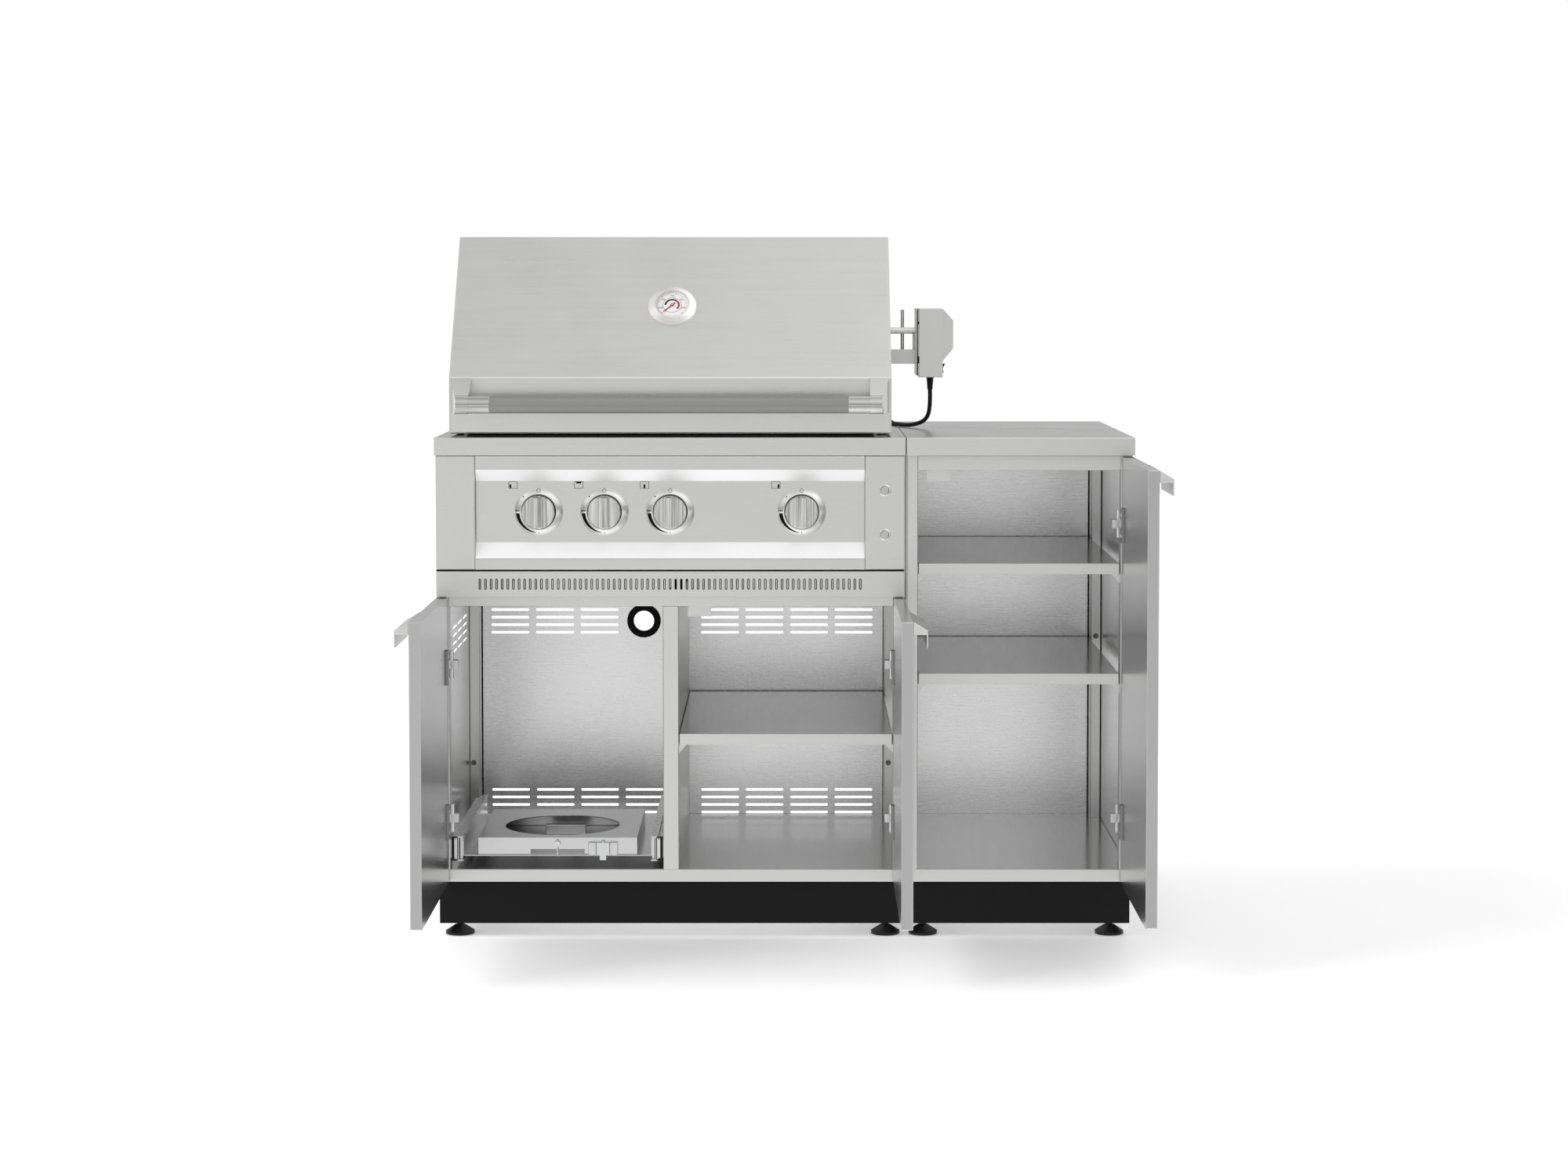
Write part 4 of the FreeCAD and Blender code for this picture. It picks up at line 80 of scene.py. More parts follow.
def add(tree, kind, inputs=None, **settings):
    """Adds one node, sets its fields, and fills its inputs; a node given as one links its first output."""
    made = tree.nodes.new(kind)
    for name, value in settings.items():
        setattr(made, name, value)
    for key, value in (inputs or {}).items():
        if isinstance(value, bpy.types.Node):
            value = value.outputs[0]
        if isinstance(value, bpy.types.NodeSocket):
            tree.links.new(value, made.inputs[key])
        else:
            made.inputs[key].default_value = value
    return made


def finish_tree(name):
    """A new material with its tree, its coordinates and its output."""
    finish = bpy.data.materials.new(name)
    finish.use_nodes = True
    tree = finish.node_tree
    tree.nodes.clear()
    place = add(tree, "ShaderNodeTexCoord").outputs["Object"]
    return finish, tree, place


def surface(tree, **inputs):
    """The shader that the light meets, joined to the material's output."""
    shader = add(tree, "ShaderNodeBsdfPrincipled", {k.replace("_", " "): v for k, v in inputs.items()})
    add(tree, "ShaderNodeOutputMaterial", {"Surface": shader})


def tones(tree, noise, code, darker, lighter):
    """A colour that varies a little with a noise."""
    mixed = add(tree, "ShaderNodeMix",
                {"Factor": noise, "A": shade(code, darker), "B": shade(code, lighter)}, data_type="RGBA")
    return mixed.outputs["Result"]


def stretched_noise(tree, place, grain, along, across, detail=2.0):
    """Noise drawn out in the grain's direction, its sizes in metres."""
    scale = [1 / across] * 3
    scale["xyz".index(grain)] = 1 / along
    mapped = add(tree, "ShaderNodeMapping", {"Vector": place, "Scale": scale})
    return add(tree, "ShaderNodeTexNoise", {"Vector": mapped, "Scale": 1.0, "Detail": detail})


def ranged(tree, value, low, high):
    """Spreads a noise, which mostly stays between 0.3 and 0.7, over a range of its own."""
    return add(tree, "ShaderNodeMapRange",
               {"Value": value, "From Min": 0.3, "From Max": 0.7, "To Min": low, "To Max": high})


def brushed_steel(name, code, grain, polish=0.34, contrast=0.05, wear=0.05, streaks=(0.35, 0.009),
                  hairs=(0.045, 0.0006), shares=(0.45, 0.3), depth=0.12, metal=1.0):
    """Belt-brushed stainless steel; the grain runs along one axis of the object."""
    finish, tree, place = finish_tree(name)
    hair = stretched_noise(tree, place, grain, *hairs, detail=3.0)
    streak = stretched_noise(tree, place, grain, *streaks)
    cloud = stretched_noise(tree, place, grain, CLOUD_SIZE, CLOUD_SIZE)
    blend = add(tree, "ShaderNodeMix", {"Factor": shares[0], "A": hair, "B": streak})
    blend = add(tree, "ShaderNodeMix", {"Factor": shares[1], "A": blend, "B": cloud})
    colour = tones(tree, ranged(tree, blend, 0.0, 1.0), code, 1 - contrast, 1 + contrast)
    rough = ranged(tree, blend, polish - wear, polish + wear)
    bump = add(tree, "ShaderNodeBump", {"Height": hair, "Strength": depth, "Distance": 0.0002})
    surface(tree, Base_Color=colour, Metallic=metal, Roughness=rough, Normal=bump)
    return finish


def in_scene(name, data):
    """A new object, in the scene."""
    made = bpy.data.objects.new(name, data)
    bpy.context.scene.collection.objects.link(made)
    return made


def as_mesh(shape, name):
    """What was worked on as a plain mesh."""
    mesh = bpy.data.meshes.new(name)
    shape.to_mesh(mesh)
    shape.free()
    return mesh


def applied(rough):
    """The mesh of an object once its modifiers are applied; the object itself goes."""
    graph = bpy.context.evaluated_depsgraph_get()
    mesh = bpy.data.meshes.new_from_object(
        rough.evaluated_get(graph), preserve_all_data_layers=True, depsgraph=graph)
    bpy.data.objects.remove(rough)
    return mesh


def least_width(face):
    """A face's area by its longest side."""
    return face.calc_area() / max(side.calc_length() for side in face.edges)


def shade_flats(mesh, wide):
    """Sets the corner normals: flats stay flat, bends and curved walls run smoothly into them."""
    flats = [face.normal.copy() for face in mesh.polygons]
    areas = [face.area for face in mesh.polygons]
    around = [[] for _ in mesh.vertices]
    for face in mesh.polygons:
        for corner in face.vertices:
            around[corner].append(face.index)
    normals = []
    for face in mesh.polygons:
        own = flats[face.index]
        least = FLAT_TURN if areas[face.index] > BROAD_FLAT * wide * wide else BEND_TURN
        for corner in face.vertices:
            total = Vector((0, 0, 0))
            for other in around[corner]:
                if own.dot(flats[other]) > least:
                    total += flats[other] * areas[other] ** 2
            normals.append(total.normalized() if total.length > 0 else own)
    mesh.normals_split_custom_set(normals)


def parted(shape):
    """Frees each solid of a group from the solids that it touches along an edge."""
    left = set(shape.faces)
    solids = []
    for first in shape.faces:
        if first in left:
            left.remove(first)
            solid = [first]
            for face in solid:
                for line in face.edges:
                    if len(line.link_faces) == 2:
                        fresh = [other for other in line.link_faces if other in left]
                        left.difference_update(fresh)
                        solid.extend(fresh)
            solids.append(solid)
    for solid in solids[1:]:
        bmesh.ops.split(shape, geom=solid)


def rounded(node_name, bend=BEND_RADIUS, edge=CUT_EDGE, steps=3):
    """A merged copy of a solid, its bends rounded between wide faces and its cut edges broken."""
    shape = bmesh.new()
    shape.from_mesh(nodes[node_name].data)
    bmesh.ops.remove_doubles(shape, verts=shape.verts, dist=SAME_PLACE)
    if any(len(line.link_faces) > 2 for line in shape.edges):
        parted(shape)
    bmesh.ops.dissolve_limit(shape, angle_limit=LEVEL_ANGLE, verts=shape.verts, edges=shape.edges)
    shape.normal_update()
    weight = shape.edges.layers.float.new("bevel_weight_edge")
    for line in shape.edges:
        if len(line.link_faces) != 2 or line.calc_face_angle() < FOLD_ANGLE:
            continue
        if line.is_convex:
            wide = min(least_width(face) for face in line.link_faces) > WIDE_FACE * bend
            line[weight] = 1.0 if wide else edge / bend
    mesh = as_mesh(shape, node_name)
    for face in mesh.polygons:
        face.use_smooth = True
    rough = in_scene(node_name, mesh)
    bevel = rough.modifiers.new("Bends", "BEVEL")
    bevel.limit_method = "WEIGHT"
    bevel.width = bend
    bevel.segments = steps
    bevel.use_clamp_overlap = False
    finished = applied(rough)
    low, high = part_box(node_name)
    for corner in finished.vertices:
        corner.co = [min(max(at, least), most) for at, least, most in zip(corner.co, low, high)]
    shade_flats(finished, bend)
    return finished


def piece(name, mesh, finishes, body, stands_for=()):
    """Puts a finished mesh in the scene, on the body that carries it."""
    mesh.name = name
    for finish in finishes:
        mesh.materials.append(finish)
    made = in_scene(name, mesh)
    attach(made, body)
    if stands_for:
        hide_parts(*stands_for)
    return made


def folded(node_name, finish, body="island", slot="brushed_steel", second=None, sides=(UPWARDS,), **sizes):
    """A folded or machined piece that stands for its solid.

    Its flats that look to one of the sides can have a second finish."""
    mesh = rounded(node_name, **sizes)
    if second:
        for face in mesh.polygons:
            face.material_index = int(any(face.normal.dot(side) > FLAT_TURN for side in sides))
    finishes = [finish, second] if second else [finish]
    return piece(node_name + "_made", mesh, finishes, body, [node_name])


def dress(node_name, finish):
    """Gives a solid that stays as it is its finish."""
    slots = nodes[node_name].data.materials
    slots.clear()
    slots.append(finish)


steel_across = brushed_steel("stainless_sheet_brushed_across", STEEL_SHADE, "x")
steel_upright = brushed_steel("stainless_sheet_brushed_upright", STEEL_SHADE, "z")
# The linings' whiter colours are painted light for the shaded inside.
lining_painted_light = brushed_steel("stainless_lining_brushed_painted_light_across", "FCFCFC", "x", 0.27, 0.04, 0.03,
                             SHORT_STREAKS, LINING_HAIRS, depth=0.25, metal=LINING_METAL)
lining_upright_painted_light = brushed_steel("stainless_lining_brushed_painted_light_upright", "EAEAEA", "z", 0.2, 0.03, 0.02,
                           hairs=SHORT_HAIRS, metal=LINING_METAL)
steel_deep = brushed_steel("stainless_shelf_top_brushed_across", "E0E0E0", "x", 0.14, 0.03, 0.02,
                           hairs=SHORT_HAIRS, metal=LINING_METAL)

dress("side_panels", lining_upright_painted_light)
dress("back_panels", lining_painted_light)
folded("frame_posts", steel_upright)
folded("frame_rails", steel_across)
folded("centre_divider", steel_upright)
folded("cabinet_floors", steel_across, second=steel_deep)


# The cable grommet: a rubber ring snapped into the back panel, for the gas hose.
# Black moulded rubber with two lips, matt and slightly dusty.


def coated(name, code, spread, lights, gloss, grain=None, **extras):
    """Paint, rubber, enamel or ink: tone and gloss vary in patches, over a fine grain if it has one."""
    finish, tree, place = finish_tree(name)
    cloud = stretched_noise(tree, place, "x", spread, spread)
    if grain:
        size, detail, strength, depth = grain
        speckle = stretched_noise(tree, place, "x", size, size, detail)
        extras["Normal"] = add(tree, "ShaderNodeBump",
                               {"Height": speckle, "Strength": strength, "Distance": depth})
    surface(tree, Base_Color=tones(tree, cloud, code, *lights), Roughness=ranged(tree, cloud, *gloss),
            **extras)
    return finish


def moulded_black(name, code, gloss, size, depth):
    """Moulded black rubber or plastic, a little dusty; also black painted shade in gaps and seams."""
    return coated(name, code, 0.03, (0.8, 1.35), (gloss - 0.06, gloss + 0.06), (size, 4.0, 0.25, depth),
                  Specular_IOR_Level=0.3)


rubber = moulded_black("black_moulded_rubber", "131314", 0.62, 0.0009, 0.0002)
folded("cable_grommet", rubber, slot="black_rubber", bend=0.0008)


# Shelves: folded trays that lift out, on small three-cornered brackets screwed to the posts.
# The sheet is brushed along the shelf's length.

folded("shelves", steel_across, second=steel_deep)
dress("shelf_clips", steel_across)


# Plinths and feet: steel skirts painted satin black, round screw feet of black plastic.
# The paint is sprayed and baked, with the faint orange peel of a powder coat.

black_coat = coated("satin_black_powder_coat", "0C0C0D", 0.09, (0.85, 1.2), (0.42, 0.5),
                    (0.0016, 2.0, 0.3, 0.0001), Specular_IOR_Level=0.2)
plastic = moulded_black("black_moulded_plastic", "0F0F10", 0.45, 0.0006, 0.0001)
dress("plinths", black_coat)
dress("levelling_feet", plastic)


# Worktops: two folded steel trays turned upside down, brushed along their length.
# The sheet is thicker than the cabinets' and a little smoother on top, where its darker colour is painted
# shade.

worktop_steel = brushed_steel("worktop_steel_brushed_across", "DEDEDC", "x", 0.3, 0.04)
# The top's darker colour is painted shade.
shaded_worktop_top = brushed_steel("worktop_top_painted_shade", "CDCDCC", "x", 0.28, 0.04)

for side in ("left", "right"):
    folded(f"{side}_worktop", worktop_steel, second=shaded_worktop_top, bend=0.002)


# Fascia: the grill's trough-shaped control panel, a filler on each side, the slotted panel
# below them. The trough's two slopes carry a painted highlight: a near-white colour with a low
# Metallic, to be as white as in the photo.

UPPER_SLOPE = Vector((0, -0.83, -0.55)).normalized()
LOWER_SLOPE = Vector((0, -0.894, 0.447))

fascia_steel = brushed_steel("fascia_steel_brushed_across", "DCDCDB", "x", 0.3, 0.035)
# The slopes' near-white colour is a painted highlight.
slope_painted_highlight = brushed_steel("trough_slope_painted_highlight", "FCFCFC", "x", 0.5, 0.02, metal=0.55)

folded("control_panel", fascia_steel, second=slope_painted_highlight, sides=(UPPER_SLOPE, LOWER_SLOPE))
folded("side_fillers", fascia_steel)
folded("vent_panel", fascia_steel, bend=0.0015, edge=0.0)

# The slots are darkened by black rings laid inside them: painted shade.
SLOT_COUNT = 69
SLOT_PITCH = 0.00995
SLOT_RADIUS = 0.00225
SLOT_HALF = 0.0098
SHADE_RING_WIDTH = 0.0015
SHADE_RING_OVERLAP = 0.00005
FIRST_SLOT = (-0.2035 - (SLOT_COUNT - 1) / 2 * SLOT_PITCH, -0.1205, 0.641)


def new_tree(name, **sockets):
    """A geometry tree with named inputs after the geometry itself, and those inputs."""
    tree = bpy.data.node_groups.new(name, "GeometryNodeTree")
    tree.interface.new_socket("Geometry", in_out="INPUT", socket_type="NodeSocketGeometry")
    for socket, kind in sockets.items():
        tree.interface.new_socket(socket, in_out="INPUT", socket_type="NodeSocket" + kind)
    tree.interface.new_socket("Geometry", in_out="OUTPUT", socket_type="NodeSocketGeometry")
    return tree, tree.nodes.new("NodeGroupInput").outputs


def closed(tree, instances, finish):
    """Ends a tree in real geometry with its finish."""
    real = add(tree, "GeometryNodeRealizeInstances", {"Geometry": instances})
    dressed = add(tree, "GeometryNodeSetMaterial", {"Geometry": real, "Material": finish})
    add(tree, "NodeGroupOutput", {"Geometry": dressed})
    return tree


def grown(tree, start=None, **sizes):
    """The plain mesh that a tree makes, its inputs set by their sockets' identifiers."""
    rough = in_scene(tree.name, start or bpy.data.meshes.new(tree.name))
    maker = rough.modifiers.new(tree.name, "NODES")
    maker.node_group = tree
    for item in tree.interface.items_tree:
        if item.in_out == "INPUT" and item.name in sizes:
            maker[item.identifier] = sizes[item.name]
    return applied(rough)


def row_tree():
    """Sets a small piece out in a straight row, turned to face one way."""
    tree, given = new_tree("straight_row", Count="Int", Start="Vector", Step="Vector", Facing="Vector",
                           Finish="Material")
    line = add(tree, "GeometryNodeMeshLine",
               {"Count": given["Count"], "Start Location": given["Start"], "Offset": given["Step"]})
    turn = add(tree, "FunctionNodeAlignRotationToVector", {"Vector": given["Facing"]}, axis="Z")
    copies = add(tree, "GeometryNodeInstanceOnPoints",
                 {"Points": line, "Instance": given["Geometry"], "Rotation": turn})
    return closed(tree, copies, given["Finish"])


straight_row = row_tree()


def row(single, finish, count, start, step, facing):
    """One row of a small piece, as a plain mesh."""
    return grown(straight_row, single.copy(), Count=count, Start=start, Step=step, Facing=facing,
                 Finish=finish)


def joined(meshes, name):
    """Several plain meshes of one finish as one."""
    whole = bmesh.new()
    for mesh in meshes:
        whole.from_mesh(mesh)
    made = as_mesh(whole, name)
    made.materials.append(meshes[0].materials[0])
    return made


def patch(shape, points):
    """One flat face of its own."""
    shape.faces.new([shape.verts.new(point) for point in points])


def band(shape, outer, inner):
    """Faces between two lines of the same number of points."""
    for index in range(len(outer) - 1):
        patch(shape, [outer[index], outer[index + 1], inner[index + 1], inner[index]])


def slot_shade_ring():
    """A dark ring that fills most of one slot: painted shade."""
    lines = []
    for radius in (SLOT_RADIUS + SHADE_RING_OVERLAP, SLOT_RADIUS - SHADE_RING_WIDTH):
        turns = [math.pi * step / 6 for step in range(7)]
        ends = [(a, SLOT_HALF - SLOT_RADIUS) for a in turns]
        ends += [(a + math.pi, SLOT_RADIUS - SLOT_HALF) for a in turns]
        lines.append([(radius * math.cos(a), middle + radius * math.sin(a), 0.0)
                      for a, middle in ends + ends[:1]])
    shape = bmesh.new()
    band(shape, *lines)
    return as_mesh(shape, "slot_shade_ring")


def worn_matt(name, code, shine):
    """Baked ink, or the black of painted shade in slots and holes: matt and a little worn."""
    return coated(name, code, 0.002, (0.8, 1.4), (0.6, 0.7), Specular_IOR_Level=shine)


painted_hole_shade = worn_matt("painted_shade_in_slots_and_holes", "0C0C0C", 0.2)
slot_shade_rings = row(slot_shade_ring(), painted_hole_shade, SLOT_COUNT, FIRST_SLOT, (SLOT_PITCH, 0, 0), (0, -1, 0))
piece("vent_slot_painted_shade", slot_shade_rings, [], "island")


# Knob bezels: conical rings turned from bar, so the fine tool marks run round them and
# the light gathers in two bright fans. Each carries the printed marks of its knob.

RECESS_Y = -0.107
KNOB_Z = 0.7693
KNOB_PLACES = {
    "knob_left_burner": ("knob_a", -0.4375),
    "knob_rear_burner": ("knob_b", -0.3205),
    "knob_centre_burner": ("knob_c", -0.2035),
    "knob_right_burner": ("knob_d", 0.0305),
}
BUTTON_X = 0.178
BUTTON_HEIGHTS = (0.8083, 0.7294)
FASCIA_Y = -0.121
BEZEL_CONE = [(0.0430, 0.0), (0.0430, 0.0012), (0.0428, 0.0017), (0.0326, 0.0079), (0.0313, 0.0082),
              (0.0310, 0.0080), (0.0310, 0.0002)]
BUTTON_RING = [(0.0105, 0.0), (0.0103, 0.0003), (0.0088, 0.0016), (0.0077, 0.0015), (0.0076, 0.0003)]


def standing(centre, normal=(0, -1, 0)):
    """The frame of a round thing on a face: across it, up it, and out of it."""
    out = Vector(normal).normalized()
    across = Vector((1, 0, 0))
    up = out.cross(across)
    turn = Matrix((across, up, out)).transposed().to_4x4()
    return Matrix.Translation(centre) @ turn


def spun(shape, outline, matrix, steps=64):
    """Adds an outline of radius and height, spun about the matrix's third axis, with a map round it.

    The outline runs up the outside and down the inside, so that its faces point outwards."""
    around = shape.loops.layers.uv.get("UVMap") or shape.loops.layers.uv.new("UVMap")
    rings = []
    for radius, height in outline:
        if radius < 1e-7:
            rings.append([shape.verts.new(matrix @ Vector((0, 0, height)))])
            continue
        angles = [2 * math.pi * step / steps for step in range(steps)]
        rings.append([shape.verts.new(matrix @ Vector((radius * math.cos(a), radius * math.sin(a), height)))
                      for a in angles])
    travel = 0.0
    for index in range(len(outline) - 1):
        low, high = rings[index], rings[index + 1]
        length = math.dist(outline[index], outline[index + 1])
        for step in range(steps):
            after = (step + 1) % steps
            corners = [(low[step % len(low)], step, travel), (low[after % len(low)], step + 1, travel),
                       (high[after % len(high)], step + 1, travel + length),
                       (high[step % len(high)], step, travel + length)]
            kept = [c for at, c in enumerate(corners) if c[0] not in [d[0] for d in corners[:at]]]
            face = shape.faces.new([c[0] for c in kept])
            face.smooth = True
            for loop, (_, turn, up) in zip(face.loops, kept):
                loop[around].uv = (turn / steps, up)
        travel += length
    return shape


def creased(shape, name, sharp=math.radians(35)):
    """A plain mesh, smooth but for its sharp edges."""
    for line in shape.edges:
        if len(line.link_faces) == 2 and line.calc_face_angle() > sharp:
            line.smooth = False
    return as_mesh(shape, name)


def turned_steel(name, code, polish):
    """Steel turned on a lathe: fine rings round the axis gather the light in fans."""
    finish, tree, _ = finish_tree(name)
    around = add(tree, "ShaderNodeUVMap", uv_map="UVMap")
    rings = add(tree, "ShaderNodeMapping", {"Vector": around, "Scale": (3.0, 4000.0, 1.0)})
    noise = add(tree, "ShaderNodeTexNoise", {"Vector": rings, "Scale": 1.0, "Detail": 2.0})
    surface(tree, Base_Color=tones(tree, noise, code, 0.94, 1.05), Metallic=1.0,
            Roughness=ranged(tree, noise, polish - 0.03, polish + 0.03), Anisotropic=0.75,
            Anisotropic_Rotation=0.25,
            Tangent=add(tree, "ShaderNodeTangent", direction_type="UV_MAP", uv_map="UVMap"))
    return finish


def worked(name, shape, finish, body="island", stands_for=()):
    """A worked shape as a piece, smooth but for its sharp edges."""
    return piece(name, creased(shape, name), [finish], body, stands_for)


bezel_steel = turned_steel("turned_stainless_bezel", "E8E8E6", 0.27)

bezels = bmesh.new()
for _, x in KNOB_PLACES.values():
    spun(bezels, BEZEL_CONE, standing((x, RECESS_Y, KNOB_Z)))
for z in BUTTON_HEIGHTS:
    spun(bezels, BUTTON_RING, standing((BUTTON_X, FASCIA_Y, z)), 40)
worked("turned_bezels", bezels, bezel_steel, "island", ["control_bezels"])


# Printed marks: baked ink on the bezels and the panel. A ring for off, a dot for the spark,
# flames for high and low with a tapering arc between them, and by each knob a small plan
# of the grill with the burner that the knob feeds.

INK_HEIGHT = 0.00006
OFF_RING_AT, OFF_RING_RADII = 0.0379, (0.0036, 0.0029)
SPARK_DOT_AT, SPARK_DOT_RADIUS = (-0.0268, 0.0270), 0.0012
HIGH_FLAME_AT, HIGH_FLAME_PITCH, HIGH_FLAME_SIZE = (-0.0375, 0.0019), 0.0027, (0.0019, 0.0023)
LOW_FLAME_AT, LOW_FLAME_SIZE = (0.0, -0.0372), (0.0014, 0.0018)
ARC_RADIUS, ARC_ENDS, ARC_HALF_WIDTHS, ARC_STEPS = 0.0371, (184, 264), (0.0034, 0.0003), 24
PLAN_WIDTH, PLAN_HEIGHT, PLAN_LINE = 0.0159, 0.0126, 0.0008
PLAN_OFFSET = (-0.0459, 0.0475)
BURNER_BARS = {
    "knob_left_burner": (0.0017, 0.0009, 0.0033, 0.0066),
    "knob_rear_burner": (0.0035, 0.0090, 0.0090, 0.0028),
    "knob_centre_burner": (0.0063, 0.0009, 0.0033, 0.0066),
    "knob_right_burner": (0.0109, 0.0009, 0.0033, 0.0066),
}
FLAME = [(0, 1), (0.45, 0.45), (0.6, 0), (0.4, -0.6), (0, -0.8), (-0.4, -0.6), (-0.6, 0), (-0.3, 0.3)]


def on_cone(x, y):
    """A place on a bezel's slope, just proud of it."""
    (foot, low), (brow, high) = BEZEL_CONE[2:4]
    drop = (math.hypot(x, y) - brow) / (foot - brow)
    return Vector((x, y, high - drop * (high - low) + INK_HEIGHT))


def bezel_marks(shape, matrix):
    """All the marks of one knob's bezel."""
    def printed(points, centre=(0.0, 0.0), size=(1.0, 1.0)):
        return [matrix @ on_cone(centre[0] + size[0] * x, centre[1] + size[1] * y) for x, y in points]

    circle = [(math.cos(math.radians(a)), math.sin(math.radians(a))) for a in range(0, 361, 15)]
    band(shape, *[printed(circle, (0.0, OFF_RING_AT), (r, r)) for r in OFF_RING_RADII])
    patch(shape, printed(circle[:-1], SPARK_DOT_AT, (SPARK_DOT_RADIUS, SPARK_DOT_RADIUS)))
    for step in (-1, 0, 1):
        centre = (HIGH_FLAME_AT[0] + step * HIGH_FLAME_PITCH, HIGH_FLAME_AT[1])
        patch(shape, printed(FLAME, centre, HIGH_FLAME_SIZE))
    patch(shape, printed(FLAME, LOW_FLAME_AT, LOW_FLAME_SIZE))
    lines = []
    for side in (1, -1):
        line = []
        for part in [step / ARC_STEPS for step in range(ARC_STEPS + 1)]:
            angle = math.radians(ARC_ENDS[0] + (ARC_ENDS[1] - ARC_ENDS[0]) * part)
            half = (ARC_HALF_WIDTHS[0] - ARC_HALF_WIDTHS[1]) * (1 - part) ** 0.8 + ARC_HALF_WIDTHS[1]
            radius = ARC_RADIUS + side * half
            line.append((radius * math.cos(angle), radius * math.sin(angle)))
        lines.append(printed(line))
    band(shape, *lines)


def burner_plan(shape, x, bar):
    """A framed plan with one bar in it, on the panel's face."""
    left = x + PLAN_OFFSET[0] - PLAN_WIDTH / 2
    low = KNOB_Z + PLAN_OFFSET[1] - PLAN_HEIGHT / 2
    inside = PLAN_HEIGHT - 2 * PLAN_LINE
    for u, v, width, height in (
            (0, 0, PLAN_WIDTH, PLAN_LINE), (0, PLAN_HEIGHT - PLAN_LINE, PLAN_WIDTH, PLAN_LINE),
            (0, PLAN_LINE, PLAN_LINE, inside), (PLAN_WIDTH - PLAN_LINE, PLAN_LINE, PLAN_LINE, inside), bar):
        corners = ((u, v), (u + width, v), (u + width, v + height), (u, v + height))
        patch(shape, [(left + across, RECESS_Y - INK_HEIGHT, low + up) for across, up in corners])


def frontwards(shape, name):
    """A mesh of flat prints that all face the front."""
    for face in shape.faces:
        face.normal_update()
        if face.normal.y > 0:
            face.normal_flip()
    return as_mesh(shape, name)


black_ink = worn_matt("black_baked_ink", "030303", 0.1)
marks = bmesh.new()
for knob, (_, x) in KNOB_PLACES.items():
    bezel_marks(marks, standing((x, RECESS_Y, KNOB_Z)))
    burner_plan(marks, x, BURNER_BARS[knob])
piece("panel_marks", frontwards(marks, "panel_marks"), [black_ink], "island")


# Knob gaps: matt black rings behind the knobs, painted shade that fills the gap between a knob
# and its bezel. They are darker than anything beside them.

GAP_SHADE_RING = [(0.0309, 0.0002), (0.0309, 0.0042), (0.0262, 0.0042), (0.0262, 0.0002)]

gap_shade_black = moulded_black("black_painted_gap_shade", "08080A", 0.8, 0.0004, 0.0001)
gap_shade_rings = bmesh.new()
for _, x in KNOB_PLACES.values():
    spun(gap_shade_rings, GAP_SHADE_RING, standing((x, RECESS_Y, KNOB_Z)), 48)
worked("knob_gap_shade_rings", gap_shade_rings, gap_shade_black, "island")


# Knobs: solid steel discs with a raised grip, each on its own spindle. Their brushing up and
# down is drawn in strong light and dark streaks of a few millimetres, brushing grain and painted
# reflection bands together. The push buttons are small turned caps in the right filler.

knob_steel_painted_bands = brushed_steel("knob_steel_brushed_and_painted_bands", "C4C4C3", "z", 0.2, 0.5, 0.05, (0.15, 0.0036),
                           (0.02, 0.0004), (0.9, 0.0))
button_steel = brushed_steel("button_cap_fine_brushed", "C4C4C3", "z", 0.22, 0.06)

for knob, (body, _) in KNOB_PLACES.items():
    folded(knob, knob_steel_painted_bands, body, "bright_steel", bend=0.0011)
folded("upper_button", button_steel, "button_a", "bright_steel", bend=0.0004)
folded("lower_button", button_steel, "button_b", "bright_steel", bend=0.0004)


# Gas train and burners: a zinc-plated pipe with four valves, three stainless burner tubes
# with two rows of drilled ports, folded flame tamers, rod grates, the tub and its grease tray.

PORT_PITCH = 0.009
PORT_COUNT = 34
PORT_RADIUS = 0.0013
BURNER_RADIUS = 0.0191
FIRST_PORT_Y = 0.02
PORT_LEAN = (0.9, 0.44)


def plated_zinc(name, code, polish=0.4):
    """Bright zinc plate with a faint bloom."""
    finish, tree, place = finish_tree(name)
    bloom = stretched_noise(tree, place, "x", 0.012, 0.012, 3.0)
    surface(tree, Base_Color=tones(tree, ranged(tree, bloom, 0, 1), code, 0.92, 1.06), Metallic=1.0,
            Roughness=ranged(tree, bloom, polish - 0.07, polish + 0.08))
    return finish


def heat_tinted(name, code):
    """Mill-finish steel inside the grill, dulled and slightly straw-coloured in patches."""
    finish, tree, place = finish_tree(name)
    stain = stretched_noise(tree, place, "x", 0.06, 0.05, 4.0)
    scale_marks = stretched_noise(tree, place, "x", 0.004, 0.002, 3.0)
    colour = tones(tree, ranged(tree, stain, 0, 1), code, 0.8, 1.1)
    bump = add(tree, "ShaderNodeBump", {"Height": scale_marks, "Strength": 0.15, "Distance": 0.0002})
    surface(tree, Base_Color=colour, Metallic=1.0, Roughness=ranged(tree, stain, 0.38, 0.55),
            Normal=bump)
    return finish


zinc = plated_zinc("bright_zinc_plate", "E2E3E3", 0.28)
hot_steel = heat_tinted("mill_steel_heat_tinted", "A9A6A0")
hot_sheet = heat_tinted("firebox_steel_dulled", "9C9A96")

folded("gas_manifold", zinc, slot="zinc_steel", bend=0.001)
dress("main_burners", hot_steel)
folded("flame_tamers", hot_steel, slot="burner_steel")
dress("firebox", hot_sheet)
folded("grease_tray", hot_sheet, slot="burner_steel")
dress("cooking_grates", hot_steel)
dress("grill_upstand", hot_sheet)


def small_turning(outline, steps=12):
    """A small round piece standing on its own foot."""
    shape = spun(bmesh.new(), outline, Matrix.Identity(4), steps)
    return creased(shape, "small_turning", math.radians(50))


